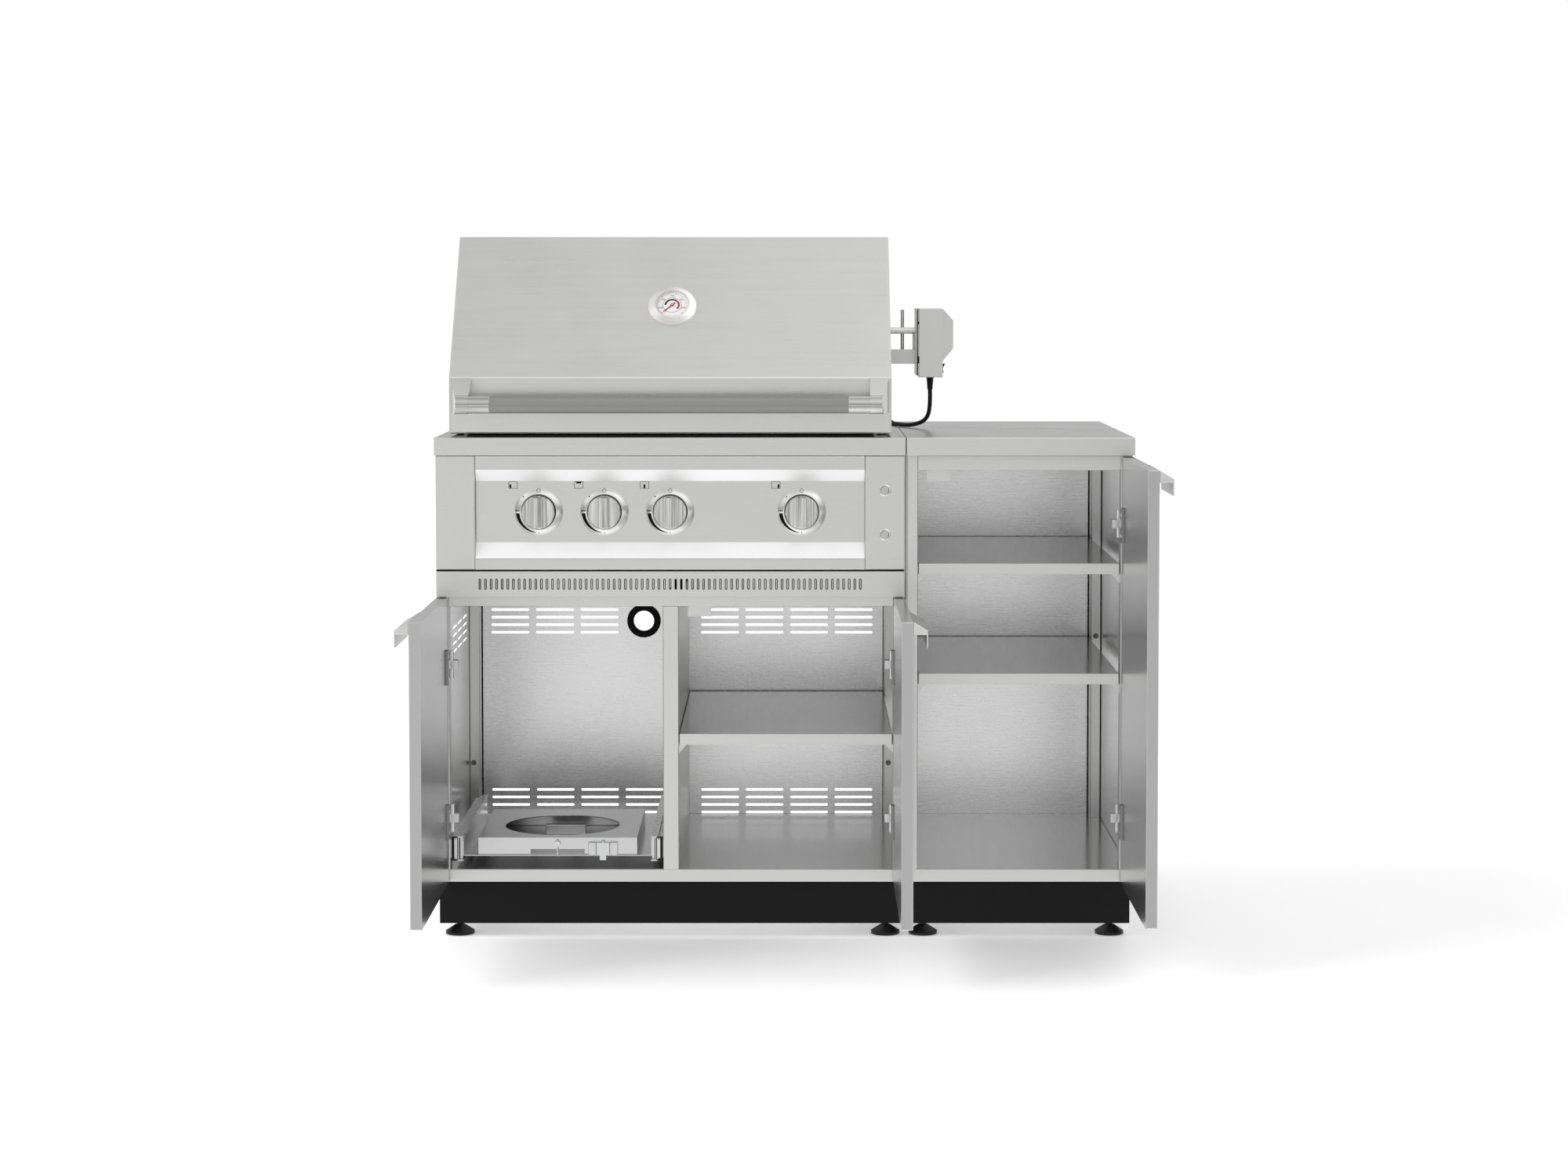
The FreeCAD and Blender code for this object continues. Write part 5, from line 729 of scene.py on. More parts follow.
# The ports are flat dark discs on the tubes: painted shade standing for the holes.
port = small_turning([(PORT_RADIUS, 0.0), (0.0, 0.0001)], 8)
port_rows = []
for x in (KNOB_PLACES[f"knob_{burner}_burner"][1] for burner in ("left", "centre", "right")):
    for side in (-1, 1):
        lean = Vector((side * PORT_LEAN[0], 0, PORT_LEAN[1])).normalized()
        start = Vector((x, FIRST_PORT_Y, KNOB_Z)) + lean * BURNER_RADIUS
        port_rows.append(row(port, painted_hole_shade, PORT_COUNT, start, (0, PORT_PITCH, 0), lean))
piece("burner_ports", joined(port_rows, "burner_ports"), [], "island")


# Rear burner: a steel case round a pale cast ceramic tile, matt and full of pin holes, whose dark
# colour is painted shade. The solid's own front within the case's walls is the tile, shown a little proud of
# it.

CASE_WALL = 0.0015
CASE_LIP = 0.005
TILE_PROUD = 0.0002


def cast_ceramic(name, code):
    """Off-white cast ceramic with a close pattern of pin holes, painted dark as shade."""
    finish, tree, place = finish_tree(name)
    holes = add(tree, "ShaderNodeTexVoronoi", {"Vector": place, "Scale": 260.0})
    pits = add(tree, "ShaderNodeMapRange", {"Value": holes, "From Min": 0.1, "From Max": 0.3})
    bump = add(tree, "ShaderNodeBump", {"Height": pits, "Strength": 0.6, "Distance": 0.0006})
    surface(tree, Base_Color=tones(tree, pits, code, 0.35, 1.0), Roughness=ranged(tree, holes, 0.8, 0.9),
            Normal=bump)
    return finish


tile_clay = cast_ceramic("cast_ceramic_tile", "D9D2C2")
dress("rear_burner", hot_steel)
case_low, case_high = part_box("rear_burner")
tile = bmesh.new()
tile.from_mesh(nodes["rear_burner"].data)
around_tile = []
for face in tile.faces:
    centre = face.calc_center_median()
    within = (case_low.x + CASE_WALL < centre.x < case_high.x - CASE_WALL
              and case_low.z + CASE_WALL < centre.z < case_high.z - CASE_WALL)
    if not (within and face.normal.y < -0.9 and centre.y > case_low.y + CASE_LIP):
        around_tile.append(face)
bmesh.ops.delete(tile, geom=around_tile, context="FACES")
bmesh.ops.translate(tile, verts=tile.verts, vec=(0, -TILE_PROUD, 0))
worked("ceramic_tile_face", tile, tile_clay, "island")


# Lid: one sheet folded to a front, a slope, a crown and a back, between two end panels.
# Brushed along its length; the folds are generous because the sheet is two millimetres.

lid_steel = brushed_steel("lid_steel_brushed_across", "E0E0DF", "x", 0.3, 0.035)
lid_end_steel = brushed_steel("lid_end_steel_brushed_upright", "DCDCDA", "z", 0.36, 0.05)

folded("lid_shell", lid_steel, "lid", bend=0.003)
folded("lid_end_panels", lid_end_steel, "lid", "burner_steel", bend=0.0012)


# Lid handle: a steel tube, plain at its ends and knurled between them, held by two cast
# brackets. The knurl is rolled in, a fine diamond about a millimetre and a half across.

HANDLE_Y, HANDLE_Z = -0.1545, 0.9615
HANDLE_X = -0.2035
TUBE_RADIUS = 0.0155
TUBE_HALF = 0.3642
TUBE_WALL = 0.0015
KNURL_HALF = 0.3162
KNURL_DEPTH = 0.0003
KNURL_PITCH = 0.0016


def knurled_steel(name, code):
    """A rolled diamond knurl: two sets of slanting grooves, painted darker as shade."""
    finish, tree, _ = finish_tree(name)
    parts = add(tree, "ShaderNodeSeparateXYZ", {"Vector": add(tree, "ShaderNodeUVMap", uv_map="UVMap")})
    grooves = math.tau * TUBE_RADIUS / KNURL_PITCH
    turn = add(tree, "ShaderNodeMath", {0: parts, 1: grooves * math.tau}, operation="MULTIPLY")
    reach = add(tree, "ShaderNodeMath", {0: parts.outputs["Y"], 1: math.tau / KNURL_PITCH},
                operation="MULTIPLY")
    ridges = []
    for sign in ("ADD", "SUBTRACT"):
        slant = add(tree, "ShaderNodeMath", {0: turn, 1: reach}, operation=sign)
        wave = add(tree, "ShaderNodeMath", {0: slant}, operation="SINE")
        ridges.append(add(tree, "ShaderNodeMath", {0: wave}, operation="ABSOLUTE"))
    height = add(tree, "ShaderNodeMath", {0: ridges[0], 1: ridges[1]}, operation="MINIMUM")
    bump = add(tree, "ShaderNodeBump", {"Height": height, "Strength": 0.5, "Distance": 0.0003})
    # The grooves are painted darker than the ridges: painted shade.
    surface(tree, Base_Color=tones(tree, height, code, 0.72, 1.05), Metallic=1.0,
            Roughness=ranged(tree, height, 0.26, 0.34), Normal=bump)
    return finish


bar_steel = turned_steel("handle_tube_polished", "C2C2C1", 0.16)
knurl = knurled_steel("handle_tube_knurled", "A4A4A3")

bar_axis = Matrix.Translation((HANDLE_X, HANDLE_Y, HANDLE_Z)) @ Matrix.Rotation(math.pi / 2, 4, "Y")
bar = bmesh.new()
spun(bar, [
    (TUBE_RADIUS - TUBE_WALL, -TUBE_HALF), (TUBE_RADIUS, -TUBE_HALF),
    (TUBE_RADIUS, -KNURL_HALF - KNURL_DEPTH), (TUBE_RADIUS - KNURL_DEPTH, -KNURL_HALF),
    (TUBE_RADIUS - KNURL_DEPTH, KNURL_HALF), (TUBE_RADIUS, KNURL_HALF + KNURL_DEPTH),
    (TUBE_RADIUS, TUBE_HALF), (TUBE_RADIUS - TUBE_WALL, TUBE_HALF),
    (TUBE_RADIUS - TUBE_WALL, -TUBE_HALF),
], bar_axis, 48)
bmesh.ops.remove_doubles(bar, verts=bar.verts, dist=SAME_PLACE / 10)
handle_bar = creased(bar, "handle_bar")
for face in handle_bar.polygons:
    centre = face.center
    outside = math.hypot(centre.y - HANDLE_Y, centre.z - HANDLE_Z) > TUBE_RADIUS - TUBE_WALL / 2
    if outside and abs(centre.x - HANDLE_X) < KNURL_HALF - KNURL_DEPTH:
        face.material_index = 1
piece("handle_bar", handle_bar, [bar_steel, knurl], "lid", ["lid_handle_bar"])

bracket_steel = brushed_steel("handle_bracket_steel_fine_brushed", "C8C8C7", "x", 0.2, 0.04)
folded("lid_handle_brackets", bracket_steel, "lid", "bright_steel", bend=0.0009)


# Thermometer: a turned conical bezel, a white enamel dial printed in black and red, a red
# needle on a post, and a flat glass pressed in over them.

DIAL_CENTRE = (-0.2035, 0.0035, 1.1335)
LID_NORMAL = (0.0, -0.78750, 0.61631)
DIAL_FLOOR = 0.0041
DIAL_FIRST, DIAL_SWEEP = 225.0, -270.0
DIAL_NUMBERS, NUMBER_RADIUS, NUMBER_HEIGHT = ("100", "150", "200", "250", "300"), 0.0208, 0.0052
DIAL_STROKES = ((28, 0.0262, 0.0020, 0.0005), (10, 0.0258, 0.0030, 0.0009))
DIAL_BANDS = ((0.0164, 0.0170, 0, 360, 0), (0.0102, 0.0140, 180, 60, 0), (0.0102, 0.0140, 60, -45, 1))
CASE_OUTLINE = [
    (0.0, -0.060), (0.004, -0.059), (0.004, 0.0), (0.0435, 0.0), (0.0435, 0.0012), (0.0433, 0.0017),
    (0.0318, 0.0088), (0.0313, 0.0090), (0.0302, 0.0088), (0.0300, 0.0085), (0.0300, 0.0040),
    (0.0015, 0.0040), (0.0015, 0.0062), (0.0, 0.0062),
]
GLASS_RADIUS, GLASS_BACK, GLASS_FRONT = 0.0297, 0.0074, 0.0082
on_dial = standing(DIAL_CENTRE, LID_NORMAL)

case = bmesh.new()
spun(case, CASE_OUTLINE, on_dial, 96)
bmesh.ops.remove_doubles(case, verts=case.verts, dist=SAME_PLACE / 10)
case_steel = turned_steel("turned_thermometer_bezel", "EFEEEC", 0.27)
worked("thermometer_body", case, case_steel, "lid", ["thermometer_case"])

white_enamel = coated("white_dial_enamel", "E8E8E8", 0.01, (0.96, 1.03), (0.31, 0.39))
red_ink = worn_matt("red_baked_ink", "A81228", 0.1)

plate = bmesh.new()
spun(plate, [(0.0299, DIAL_FLOOR), (0.0017, DIAL_FLOOR)], on_dial, 64)
worked("dial_plate", plate, white_enamel, "lid")


def dial_band(shape, inner, outer, first, last, finish_index):
    """A printed arc; its angles count up from the right, against the clock."""
    steps = max(2, int(abs(last - first) / 6))
    angles = [math.radians(first + (last - first) * step / steps) for step in range(steps + 1)]
    rows = [[on_dial @ Vector((r * math.cos(a), r * math.sin(a), DIAL_FLOOR + INK_HEIGHT)) for a in angles]
            for r in (outer, inner)]
    before = len(shape.faces)
    band(shape, *rows)
    shape.faces.ensure_lookup_table()
    for face in shape.faces[before:]:
        face.material_index = finish_index


def tick_tree():
    """Short strokes set round an arc."""
    tree, given = new_tree("dial_ticks", Count="Int", Reach="Float", First="Float", Sweep="Float",
                           Length="Float", Width="Float", Finish="Material")
    arc = add(tree, "GeometryNodeCurveArc",
              {"Resolution": given["Count"], "Radius": given["Reach"], "Start Angle": given["First"],
               "Sweep Angle": given["Sweep"]})
    stroke = add(tree, "GeometryNodeMeshGrid",
                 {"Size X": given["Length"], "Size Y": given["Width"], "Vertices X": 2, "Vertices Y": 2})
    turn = add(tree, "FunctionNodeAlignRotationToVector",
               {"Vector": add(tree, "GeometryNodeInputPosition")}, axis="X", pivot_axis="Z")
    strokes = add(tree, "GeometryNodeInstanceOnPoints", {"Points": arc, "Instance": stroke, "Rotation": turn})
    return closed(tree, strokes, given["Finish"])


tick_row = tick_tree()


def on_plate(mesh, x=0.0, y=0.0):
    """Lays a flat print on the dial."""
    mesh.transform(Matrix.Translation((x, y, DIAL_FLOOR + INK_HEIGHT)))
    mesh.transform(on_dial)
    return mesh


def ticks(count, radius, length, width):
    """The strokes of one kind round the dial's scale."""
    return on_plate(grown(tick_row, Count=count, Reach=radius, First=math.radians(DIAL_FIRST),
                          Sweep=math.radians(DIAL_SWEEP), Length=length, Width=width, Finish=black_ink))


def number(text, angle, radius, height):
    """One printed number, upright on the dial."""
    line = bpy.data.curves.new("number", "FONT")
    line.body = text
    line.size = height
    line.align_x = "CENTER"
    line.align_y = "CENTER"
    turn = math.radians(angle)
    return on_plate(applied(in_scene("number", line)), radius * math.cos(turn), radius * math.sin(turn))


print_shape = bmesh.new()
for strokes in DIAL_STROKES:
    print_shape.from_mesh(ticks(*strokes))
for index, text in enumerate(DIAL_NUMBERS):
    angle = DIAL_FIRST + DIAL_SWEEP * (index + 0.5) / len(DIAL_NUMBERS)
    print_shape.from_mesh(number(text, angle, NUMBER_RADIUS, NUMBER_HEIGHT))
for values in DIAL_BANDS:
    dial_band(print_shape, *values)
piece("dial_print", frontwards(print_shape, "dial_print"), [black_ink, red_ink], "lid")

dress("thermometer_needle", red_ink)

dusty_glass, glass_tree, glass_place = finish_tree("clear_dial_glass")
dust = stretched_noise(glass_tree, glass_place, "x", 0.004, 0.004)
surface(glass_tree, Base_Color=linear("FAFCFB"), Roughness=ranged(glass_tree, dust, 0.02, 0.06), Alpha=0.03,
        Specular_IOR_Level=0.2)
glass = bmesh.new()
spun(glass, [(0.0, GLASS_BACK), (GLASS_RADIUS, GLASS_BACK), (GLASS_RADIUS, GLASS_FRONT), (0.0, GLASS_FRONT)],
     on_dial, 64)
worked("dial_glass", glass, dusty_glass, "lid")


# Spit and its bracket: a polished rod with two forks, a folded arm and plate of plated
# steel that holds the motor, and the guide rod beside them.

spit_steel = plated_zinc("polished_spit_steel", "E2E1DF", 0.22)
bracket_zinc = brushed_steel("bracket_steel_brushed", "D6D6D5", "z", 0.36, 0.05)
dress("spit", spit_steel)
folded("rotisserie_bracket", bracket_zinc, slot="zinc_steel", bend=0.0008)


# Motor: a pressed steel case with a bevelled nose, its cover, and the rocker switch under
# the nose.

motor_steel = brushed_steel("motor_case_steel_brushed", "DFDFDD", "z", 0.36, 0.04)
folded("motor_housing", motor_steel, slot="brushed_steel", bend=0.0015)
folded("motor_switch", plastic, "switch", "black_plastic", bend=0.0006)


# Strain relief: a tapered rubber sleeve with moulded ribs, where the cord leaves the motor.
# The ribs get smaller towards the tip so that the cord bends gently.

RELIEF_CENTRE = (0.271, 0.1775, 0.9766)
RELIEF_LENGTH = 0.024
RIB_COUNT = 5


def rib_tree():
    """Ribs along a tapering sleeve."""
    tree, given = new_tree("sleeve_ribs", Count="Int", Start="Vector", Step="Vector", Root="Float",
                           Taper="Float", Height="Float", Finish="Material")
    line = add(tree, "GeometryNodeMeshLine",
               {"Count": given["Count"], "Start Location": given["Start"], "Offset": given["Step"]})
    rib = add(tree, "GeometryNodeMeshCylinder",
              {"Vertices": 32, "Radius": given["Root"], "Depth": given["Height"]})
    shrink = add(tree, "ShaderNodeMath",
                 {0: add(tree, "GeometryNodeInputIndex"), 1: given["Taper"]}, operation="MULTIPLY")
    size = add(tree, "ShaderNodeMath", {0: 1.0, 1: shrink}, operation="SUBTRACT")
    scale = add(tree, "ShaderNodeCombineXYZ", {"X": size, "Y": size, "Z": 1.0})
    ribs = add(tree, "GeometryNodeInstanceOnPoints", {"Points": line, "Instance": rib, "Scale": scale})
    return closed(tree, ribs, given["Finish"])


rib_mesh = grown(rib_tree(), Count=RIB_COUNT, Start=(0, 0, 0.0185), Step=(0, 0, -0.0038), Root=0.0068,
                 Taper=0.055, Height=0.0018, Finish=rubber)
rib_mesh.transform(Matrix.Translation(RELIEF_CENTRE))

sleeve = bmesh.new()
spun(sleeve, [(0.0, 0.0), (0.0041, 0.0), (0.0046, 0.0006), (0.0058, 0.0205), (0.0068, 0.0212),
              (0.0070, 0.0220), (0.0070, RELIEF_LENGTH), (0.0, RELIEF_LENGTH)],
     Matrix.Translation(RELIEF_CENTRE), 40)
sleeve.from_mesh(rib_mesh)
relief = worked("strain_relief_sleeve", sleeve, rubber, "island", ["strain_relief"])


# Power cord: one round rubber cord down from the motor, over the worktop, round the back of
# the lid and into a small flat coil of two layers. It ends in a moulded two-pin plug.

CORD_RADIUS = 0.004
CORD_REST = 0.9063
CORD_POINTS = [
    (0.271, 0.1775, 0.9766), (0.272, 0.1785, 0.944), (0.265, 0.1995, 0.918), (0.240, 0.2415, 0.907),
    (0.218, 0.2895, CORD_REST), (0.206, 0.3415, CORD_REST), (0.208, 0.3955, CORD_REST),
    (0.198, 0.4395, CORD_REST), (0.172, 0.4775, CORD_REST), (0.136, 0.5005, CORD_REST),
    (0.101, 0.5095, CORD_REST), (0.068, 0.5095, CORD_REST),
]
COIL_CENTRE = (0.060, 0.4595)
COIL_RADIUS, COIL_PITCH, COIL_STEP = 0.050, 0.009, 0.0085
COIL_TURNS, CLIMB_TURNS = 2.0, 0.5
POINTS_A_TURN = 16
BLADE_LENGTH = 0.0169


def coil_point(turn):
    """The coil runs in on the lower layer, climbs, and runs out again on the upper one."""
    angle = math.pi / 2 + math.tau * turn
    middle = COIL_TURNS + CLIMB_TURNS / 2
    radius = COIL_RADIUS - COIL_PITCH * (middle - abs(turn - middle))
    climb = min(max((turn - COIL_TURNS) / CLIMB_TURNS, 0), 1)
    rise = COIL_STEP * (1 - math.cos(math.pi * climb)) / 2
    return (COIL_CENTRE[0] + radius * math.cos(angle), COIL_CENTRE[1] + radius * math.sin(angle),
            CORD_REST + rise)


turns = 2 * COIL_TURNS + CLIMB_TURNS
coil_points = [coil_point(step / POINTS_A_TURN) for step in range(int(turns * POINTS_A_TURN) + 1)]
tail = (coil_points[-1][0] + 2 * CORD_RADIUS, coil_points[-1][1], coil_points[-1][2])
line = bpy.data.curves.new("power_cord", "CURVE")
line.dimensions = "3D"
spline = line.splines.new("NURBS")
route = CORD_POINTS + coil_points + [tail]
spline.points.add(len(route) - 1)
for point, place in zip(spline.points, route):
    point.co = (*place, 1.0)
spline.order_u = 3
spline.use_endpoint_u = True
line.resolution_u = 10
line.bevel_depth = CORD_RADIUS
line.bevel_resolution = 5
line.use_fill_caps = True
line.materials.append(rubber)
cord = in_scene("power_cord", line)
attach(cord, "island")
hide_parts("rotisserie_cord", "rotisserie_cord_coil")

blade_brass = plated_zinc("nickel_plated_blade", "C8C3B6", 0.25)
plug_mesh = rounded("mains_plug", bend=0.003, edge=0.0004, steps=4)
plug_mesh.materials.append(rubber)
plug_mesh.materials.append(blade_brass)
blades_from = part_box("mains_plug")[1].x - BLADE_LENGTH
for face in plug_mesh.polygons:
    if face.center.x > blades_from:
        face.material_index = 1
plug = piece("moulded_plug", plug_mesh, [], "island", ["mains_plug"])


# Doors: a folded outer skin and a liner, with a strip folded into a finger pull along the
# top edge. Brushed up and down outside, with the front edges in a darker copy of the steel that is
# painted shade; they hang on pins between plated hinge leaves.

FORWARDS = Vector((0, -1, 0))

door_steel = brushed_steel("door_steel_brushed_upright", "DADADA", "z", 0.24, 0.035, 0.025, (0.4, 0.02))
# The edges' darker steel is painted shade.
door_edge_painted_shade = brushed_steel("door_edge_steel_painted_shade", "C0C0C0", "z", 0.3, 0.035, 0.025)
# The leaves' darker zinc is painted shade.
leaf_zinc_painted_shade = plated_zinc("hinge_leaf_zinc_painted_shade", "8A8A8A", 0.24)

for side in ("left", "middle", "right"):
    folded(f"{side}_door", door_steel, f"door_{side}", second=door_edge_painted_shade, sides=(FORWARDS,), bend=0.0015)
    folded(f"{side}_door_handle", steel_across, f"door_{side}", bend=0.0012)
    folded(f"{side}_door_hinges", leaf_zinc_painted_shade, f"door_{side}", "zinc_steel", bend=0.0006)
# The brackets' near-white zinc is a painted highlight.
dress("hinge_brackets", plated_zinc("hinge_bracket_zinc_painted_highlight", "FAFAFA", 0.42))


# Tank tray: a plated tray on two ball-bearing slides, with a platform for the bottle's foot
# ring, a stop block, a spring latch and a thumb screw. The slides' front ends have black caps
# in the form of a bracket.

tray_steel = brushed_steel("tray_steel_brushed_across", "D8D8D8", "x", 0.24, 0.05)
RAIL_FRONT = -0.0875
CAP_DEPTH = 0.0008
CAP_LOW, CAP_HIGH, CAP_ARM = 0.1390, 0.1830, 0.0025
CAP_BARS = ((0.0010, 0.0060, CAP_LOW, CAP_HIGH), (0.0060, 0.0115, CAP_LOW, CAP_LOW + CAP_ARM),
            (0.0060, 0.0115, CAP_HIGH - CAP_ARM, CAP_HIGH))

dress("tray_outer_rails", zinc)
folded("tray_middle_rails", zinc, "rails", "zinc_steel", bend=0.0008)
folded("tank_tray", tray_steel, "tray", "zinc_steel", bend=0.0012)
folded("tray_latch", zinc, "latch", "zinc_steel", bend=0.0008)
folded("thumb_screw", zinc, "screw", "zinc_steel", bend=0.0005)

rail_low, rail_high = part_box("tray_outer_rails")
end_caps = bmesh.new()
for side, sign in ((rail_low.x, 1), (rail_high.x, -1)):
    for start, end, low, high in CAP_BARS:
        middle = (side + sign * (start + end) / 2, RAIL_FRONT - CAP_DEPTH / 2, (low + high) / 2)
        bmesh.ops.create_cube(end_caps, size=1.0, matrix=Matrix.Translation(middle)
                              @ Matrix.Diagonal((end - start, CAP_DEPTH, high - low, 1.0)))
worked("slide_end_caps", end_caps, plastic, "island")


# Fasteners: cap screws that join the posts, flat screws in the hinge leaves, and the rows of
# small holes in the posts where the shelves' brackets hook in.

BOLT = [(0.0052, 0.0), (0.0052, 0.0006), (0.0043, 0.0008), (0.0043, 0.0036), (0.0038, 0.0042),
        (0.0022, 0.0042), (0.0021, 0.0012), (0.0, 0.0012)]
FLAT_SCREW = [(0.0030, 0.0), (0.0028, 0.0003), (0.0011, 0.0004), (0.0010, 0.0001), (0.0, 0.0001)]
PIN_HOLE = [(0.0015, 0.0001), (0.0, 0.0002)]
POST_FRONT = 0.4423
BOLT_PLACES = ((-0.612, 0.234), (0.2025, 0.234), (0.609, 0.484), (0.2275, 0.484))
PIN_PITCH = 0.05
PIN_ROWS = ((0.5995, 14, -1), (0.194, 9, -1), (-0.1895, 9, 1))
PIN_DEPTHS, PIN_FOOT = (-0.085, 0.4755), 0.1546
LEAF_SCREWS = (("left", -0.5965, 1, 0.4934), ("middle", 0.1895, -1, 0.4934), ("right", 0.5965, -1, 0.7463))
LOW_HINGE, SCREW_Y, SCREW_PITCH = 0.2166, -0.1325, 0.038

bolt_steel = turned_steel("bright_cap_screw", "9C9C9C", 0.25)
bolt = small_turning(BOLT, 20)
bolts = [row(bolt, bolt_steel, 1, (x, POST_FRONT, z), (0, 0, 0), (0, -1, 0)) for x, z in BOLT_PLACES]
piece("post_bolts", joined(bolts, "post_bolts"), [], "island")

# The holes are flat dark discs: painted shade standing for them.
hole = small_turning(PIN_HOLE, 8)
holes = []
for x, count, sign in PIN_ROWS:
    for y in PIN_DEPTHS:
        holes.append(row(hole, painted_hole_shade, count, (x, y, PIN_FOOT), (0, 0, PIN_PITCH), (sign, 0, 0)))
piece("pin_holes", joined(holes, "pin_holes"), [], "island")

flat_screw = small_turning(FLAT_SCREW)
for side, x, sign, high_hinge in LEAF_SCREWS:
    pairs = [row(flat_screw, bolt_steel, 2, (x, SCREW_Y, z - SCREW_PITCH / 2), (0, 0, SCREW_PITCH),
                 (sign, 0, 0)) for z in (LOW_HINGE, high_hinge)]
    piece(f"{side}_hinge_screws", joined(pairs, f"{side}_hinge_screws"), [], f"door_{side}")


# Seams: thin round black beads, painted shade under the lid's front, in the gap over the slotted
# panel and in the corners beside the rear posts and beside the motor, and two short dark beads on the motor.

SEAM_SHADE_BEADS = [
    ((-0.5660, -0.1000, 0.9040), (0.1590, -0.1000, 0.9040), 0.0019),
    ((-0.6195, -0.1196, 0.6654), (0.2125, -0.1196, 0.6654), 0.0013),
    ((-0.5984, 0.4880, 0.1256), (-0.5984, 0.4880, 0.5985), 0.0012),
    ((0.1931, 0.4880, 0.1256), (0.1931, 0.4880, 0.5985), 0.0007),
    ((0.5982, 0.4880, 0.1256), (0.5982, 0.4880, 0.8500), 0.0012),
    ((0.6184, 0.4421, 0.1256), (0.6184, 0.4421, 0.8500), 0.0008),
    ((0.2465, 0.1394, 1.0040), (0.2465, 0.1394, 1.1265), 0.0007),
    ((0.2478, 0.1393, 1.1000), (0.2478, 0.1393, 1.1036), 0.0018),
    ((0.2478, 0.1393, 1.0265), (0.2478, 0.1393, 1.0395), 0.0018),
]

# The beads' black is painted shade in the gaps and corners.
seam_shade_black = moulded_black("black_painted_seam_shade", "060607", 0.7, 0.0005, 0.0001)
seam_shade_beads = bmesh.new()
for start, end, radius in SEAM_SHADE_BEADS:
    run = Vector(end) - Vector(start)
    frame_of_bead = Matrix.Translation(start) @ run.to_track_quat("Z", "Y").to_matrix().to_4x4()
    spun(seam_shade_beads, [(0.0, 0.0), (radius, 0.0), (radius, run.length), (0.0, run.length)], frame_of_bead, 6)
worked("painted_seam_shade_beads", seam_shade_beads, seam_shade_black, "island")


# Studio: a pale floor that glows a little and one soft lamp from the left front. The sky is
# even and white, but mirrored rays see it graded from floor to top, with a window on each
# side in front, which gives the brushed steel the photo's tones.

FLOOR_SIZE = 14.0
FLOOR_DROP = 0.0005
FLOOR_GLOW = 0.28
SKY_STOPS = ((0.0, 1.36), (0.13, 1.1), (0.22, 0.6), (0.34, 0.62), (0.42, 0.9), (0.49, 0.92), (0.505, 0.5),
             (0.525, 0.2), (0.545, 0.25), (0.6, 0.64), (0.7, 0.72), (0.88, 1.04), (0.95, 0.8), (1.0, 0.62))
SKY_LEAN = (-0.6, 2.0)
LEAN_REACH = 0.15
EVEN_LIGHT = 1.09
SIDE_WINDOWS = 0.3
WINDOW_RISE, WINDOW_SIDE, WINDOW_FRONT = (0.2, 0.45), (0.4, 0.65), (0.0, 0.3)
DIMMEST_SKY = 0.08
SOFT_LIGHT = 0.72
LAMP_STRENGTH, LAMP_SPREAD, LAMP_TRAVEL = 2.0, 38, (0.85, 0.28, -0.5)

floor_paint = coated("pale_studio_floor", "FAFAFA", 0.9, (0.985, 1.01), (0.5, 0.6),
                     Emission_Color=linear("FAFAFA"), Emission_Strength=FLOOR_GLOW)

ground = bmesh.new()
bmesh.ops.create_grid(ground, x_segments=8, y_segments=8, size=FLOOR_SIZE)
floor = in_scene("studio_floor", as_mesh(ground, "studio_floor"))
floor.data.materials.append(floor_paint)
floor.location.z = -FLOOR_DROP
floor.visible_glossy = False

world = bpy.data.worlds.new("studio_sky")
bpy.context.scene.world = world
world.use_nodes = True
sky = world.node_tree
sky.nodes.clear()
towards = add(sky, "ShaderNodeSeparateXYZ", {"Vector": add(sky, "ShaderNodeTexCoord")})
across, depth, up = towards.outputs
level = add(sky, "ShaderNodeMapRange", {"Value": up, "From Min": -1.0, "From Max": 1.0})
height_tone = add(sky, "ShaderNodeValToRGB", {"Fac": level})
stops = height_tone.color_ramp.elements
while len(stops) < len(SKY_STOPS):
    stops.new(0.5)
for stop, (place, grey) in zip(stops, SKY_STOPS):
    stop.position = place
    stop.color = (grey, grey, grey, 1.0)

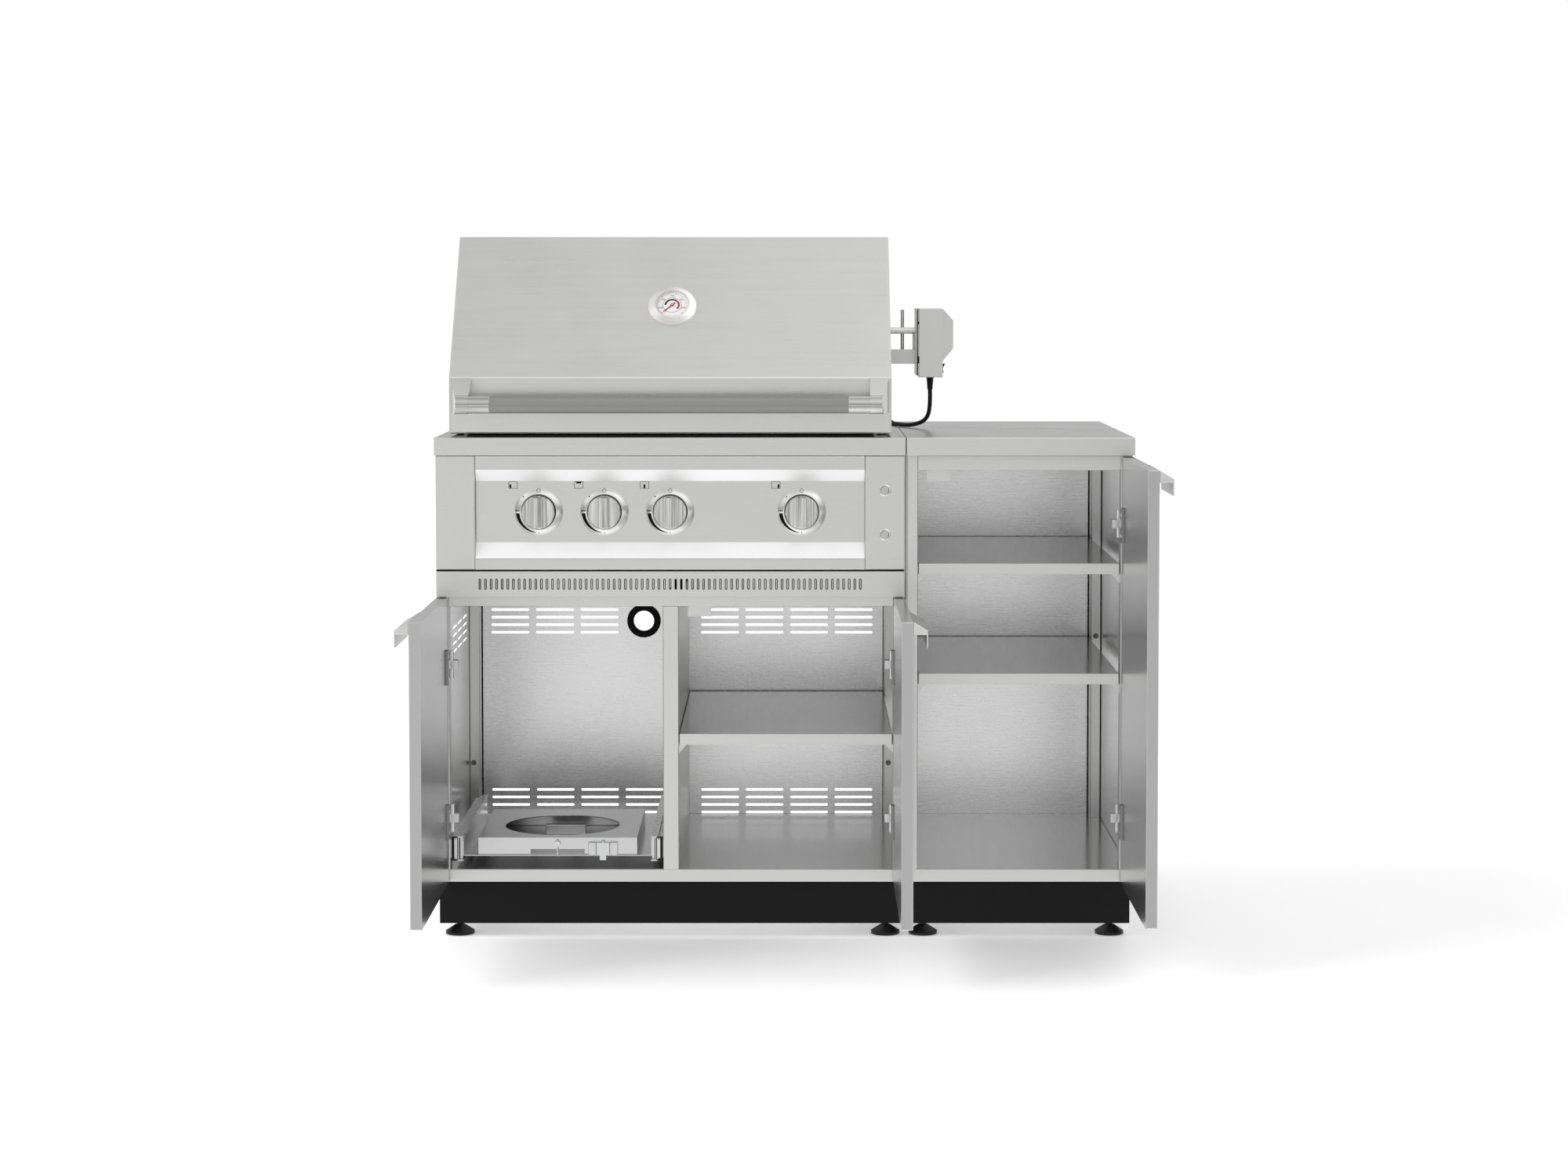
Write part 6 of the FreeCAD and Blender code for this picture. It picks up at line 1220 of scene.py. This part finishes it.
lean = add(sky, "ShaderNodeMapRange", {"Value": up, "To Min": SKY_LEAN[0], "To Max": SKY_LEAN[1]})
near_x = add(sky, "ShaderNodeClamp", {"Value": across, "Min": -LEAN_REACH, "Max": LEAN_REACH})
sideways = add(sky, "ShaderNodeMath", {0: near_x, 1: lean}, operation="MULTIPLY")
even = add(sky, "ShaderNodeMath", {0: sideways, 1: EVEN_LIGHT}, operation="ADD")
far_x = add(sky, "ShaderNodeMath", {0: across}, operation="ABSOLUTE")
in_front = add(sky, "ShaderNodeMath", {0: depth, 1: -1.0}, operation="MULTIPLY")
windows = SIDE_WINDOWS
for value, (low, high) in ((up, WINDOW_RISE), (far_x, WINDOW_SIDE), (in_front, WINDOW_FRONT)):
    eased = add(sky, "ShaderNodeMapRange", {"Value": value, "From Min": low, "From Max": high},
                interpolation_type="SMOOTHSTEP")
    windows = add(sky, "ShaderNodeMath", {0: eased, 1: windows}, operation="MULTIPLY")
summed = add(sky, "ShaderNodeMath", {0: even, 1: windows}, operation="ADD")
strength = add(sky, "ShaderNodeMath", {0: summed, 1: DIMMEST_SKY}, operation="MAXIMUM")
mirrored = add(sky, "ShaderNodeBackground", {"Color": height_tone, "Strength": strength})
soft = add(sky, "ShaderNodeBackground", {"Color": (1.0, 1.0, 1.0, 1.0), "Strength": SOFT_LIGHT})
white = add(sky, "ShaderNodeBackground", {"Color": (1.0, 1.0, 1.0, 1.0), "Strength": 1.0})
seen = add(sky, "ShaderNodeLightPath").outputs
around_it = add(sky, "ShaderNodeMixShader", {"Fac": seen["Is Glossy Ray"], 1: soft, 2: mirrored})
backdrop = add(sky, "ShaderNodeMixShader", {"Fac": seen["Is Camera Ray"], 1: around_it, 2: white})
add(sky, "ShaderNodeOutputWorld", {"Surface": backdrop})
world.cycles.sampling_method = "NONE"

lamp = bpy.data.lights.new("window_light", "SUN")
lamp.energy = LAMP_STRENGTH
lamp.angle = math.radians(LAMP_SPREAD)
key = in_scene("window_light", lamp)
key.rotation_euler = Vector(LAMP_TRAVEL).to_track_quat("-Z", "Y").to_euler()
key.visible_glossy = False


# Camera: set from the photograph's own perspective, about 1.2 m above the floor and nearly in
# front of the object's middle.

lens = bpy.data.cameras.new("studio_camera")
lens.sensor_width = 36.0
lens.lens = 71.73
lens.shift_x = -0.0044
lens.shift_y = -0.0958
camera = in_scene("studio_camera", lens)
camera.location = (0.01126, -5.65585, 1.18204)
camera.rotation_euler = (math.radians(87.1), 0, 0)
bpy.context.scene.camera = camera
bpy.context.scene.view_settings.view_transform = "Standard"
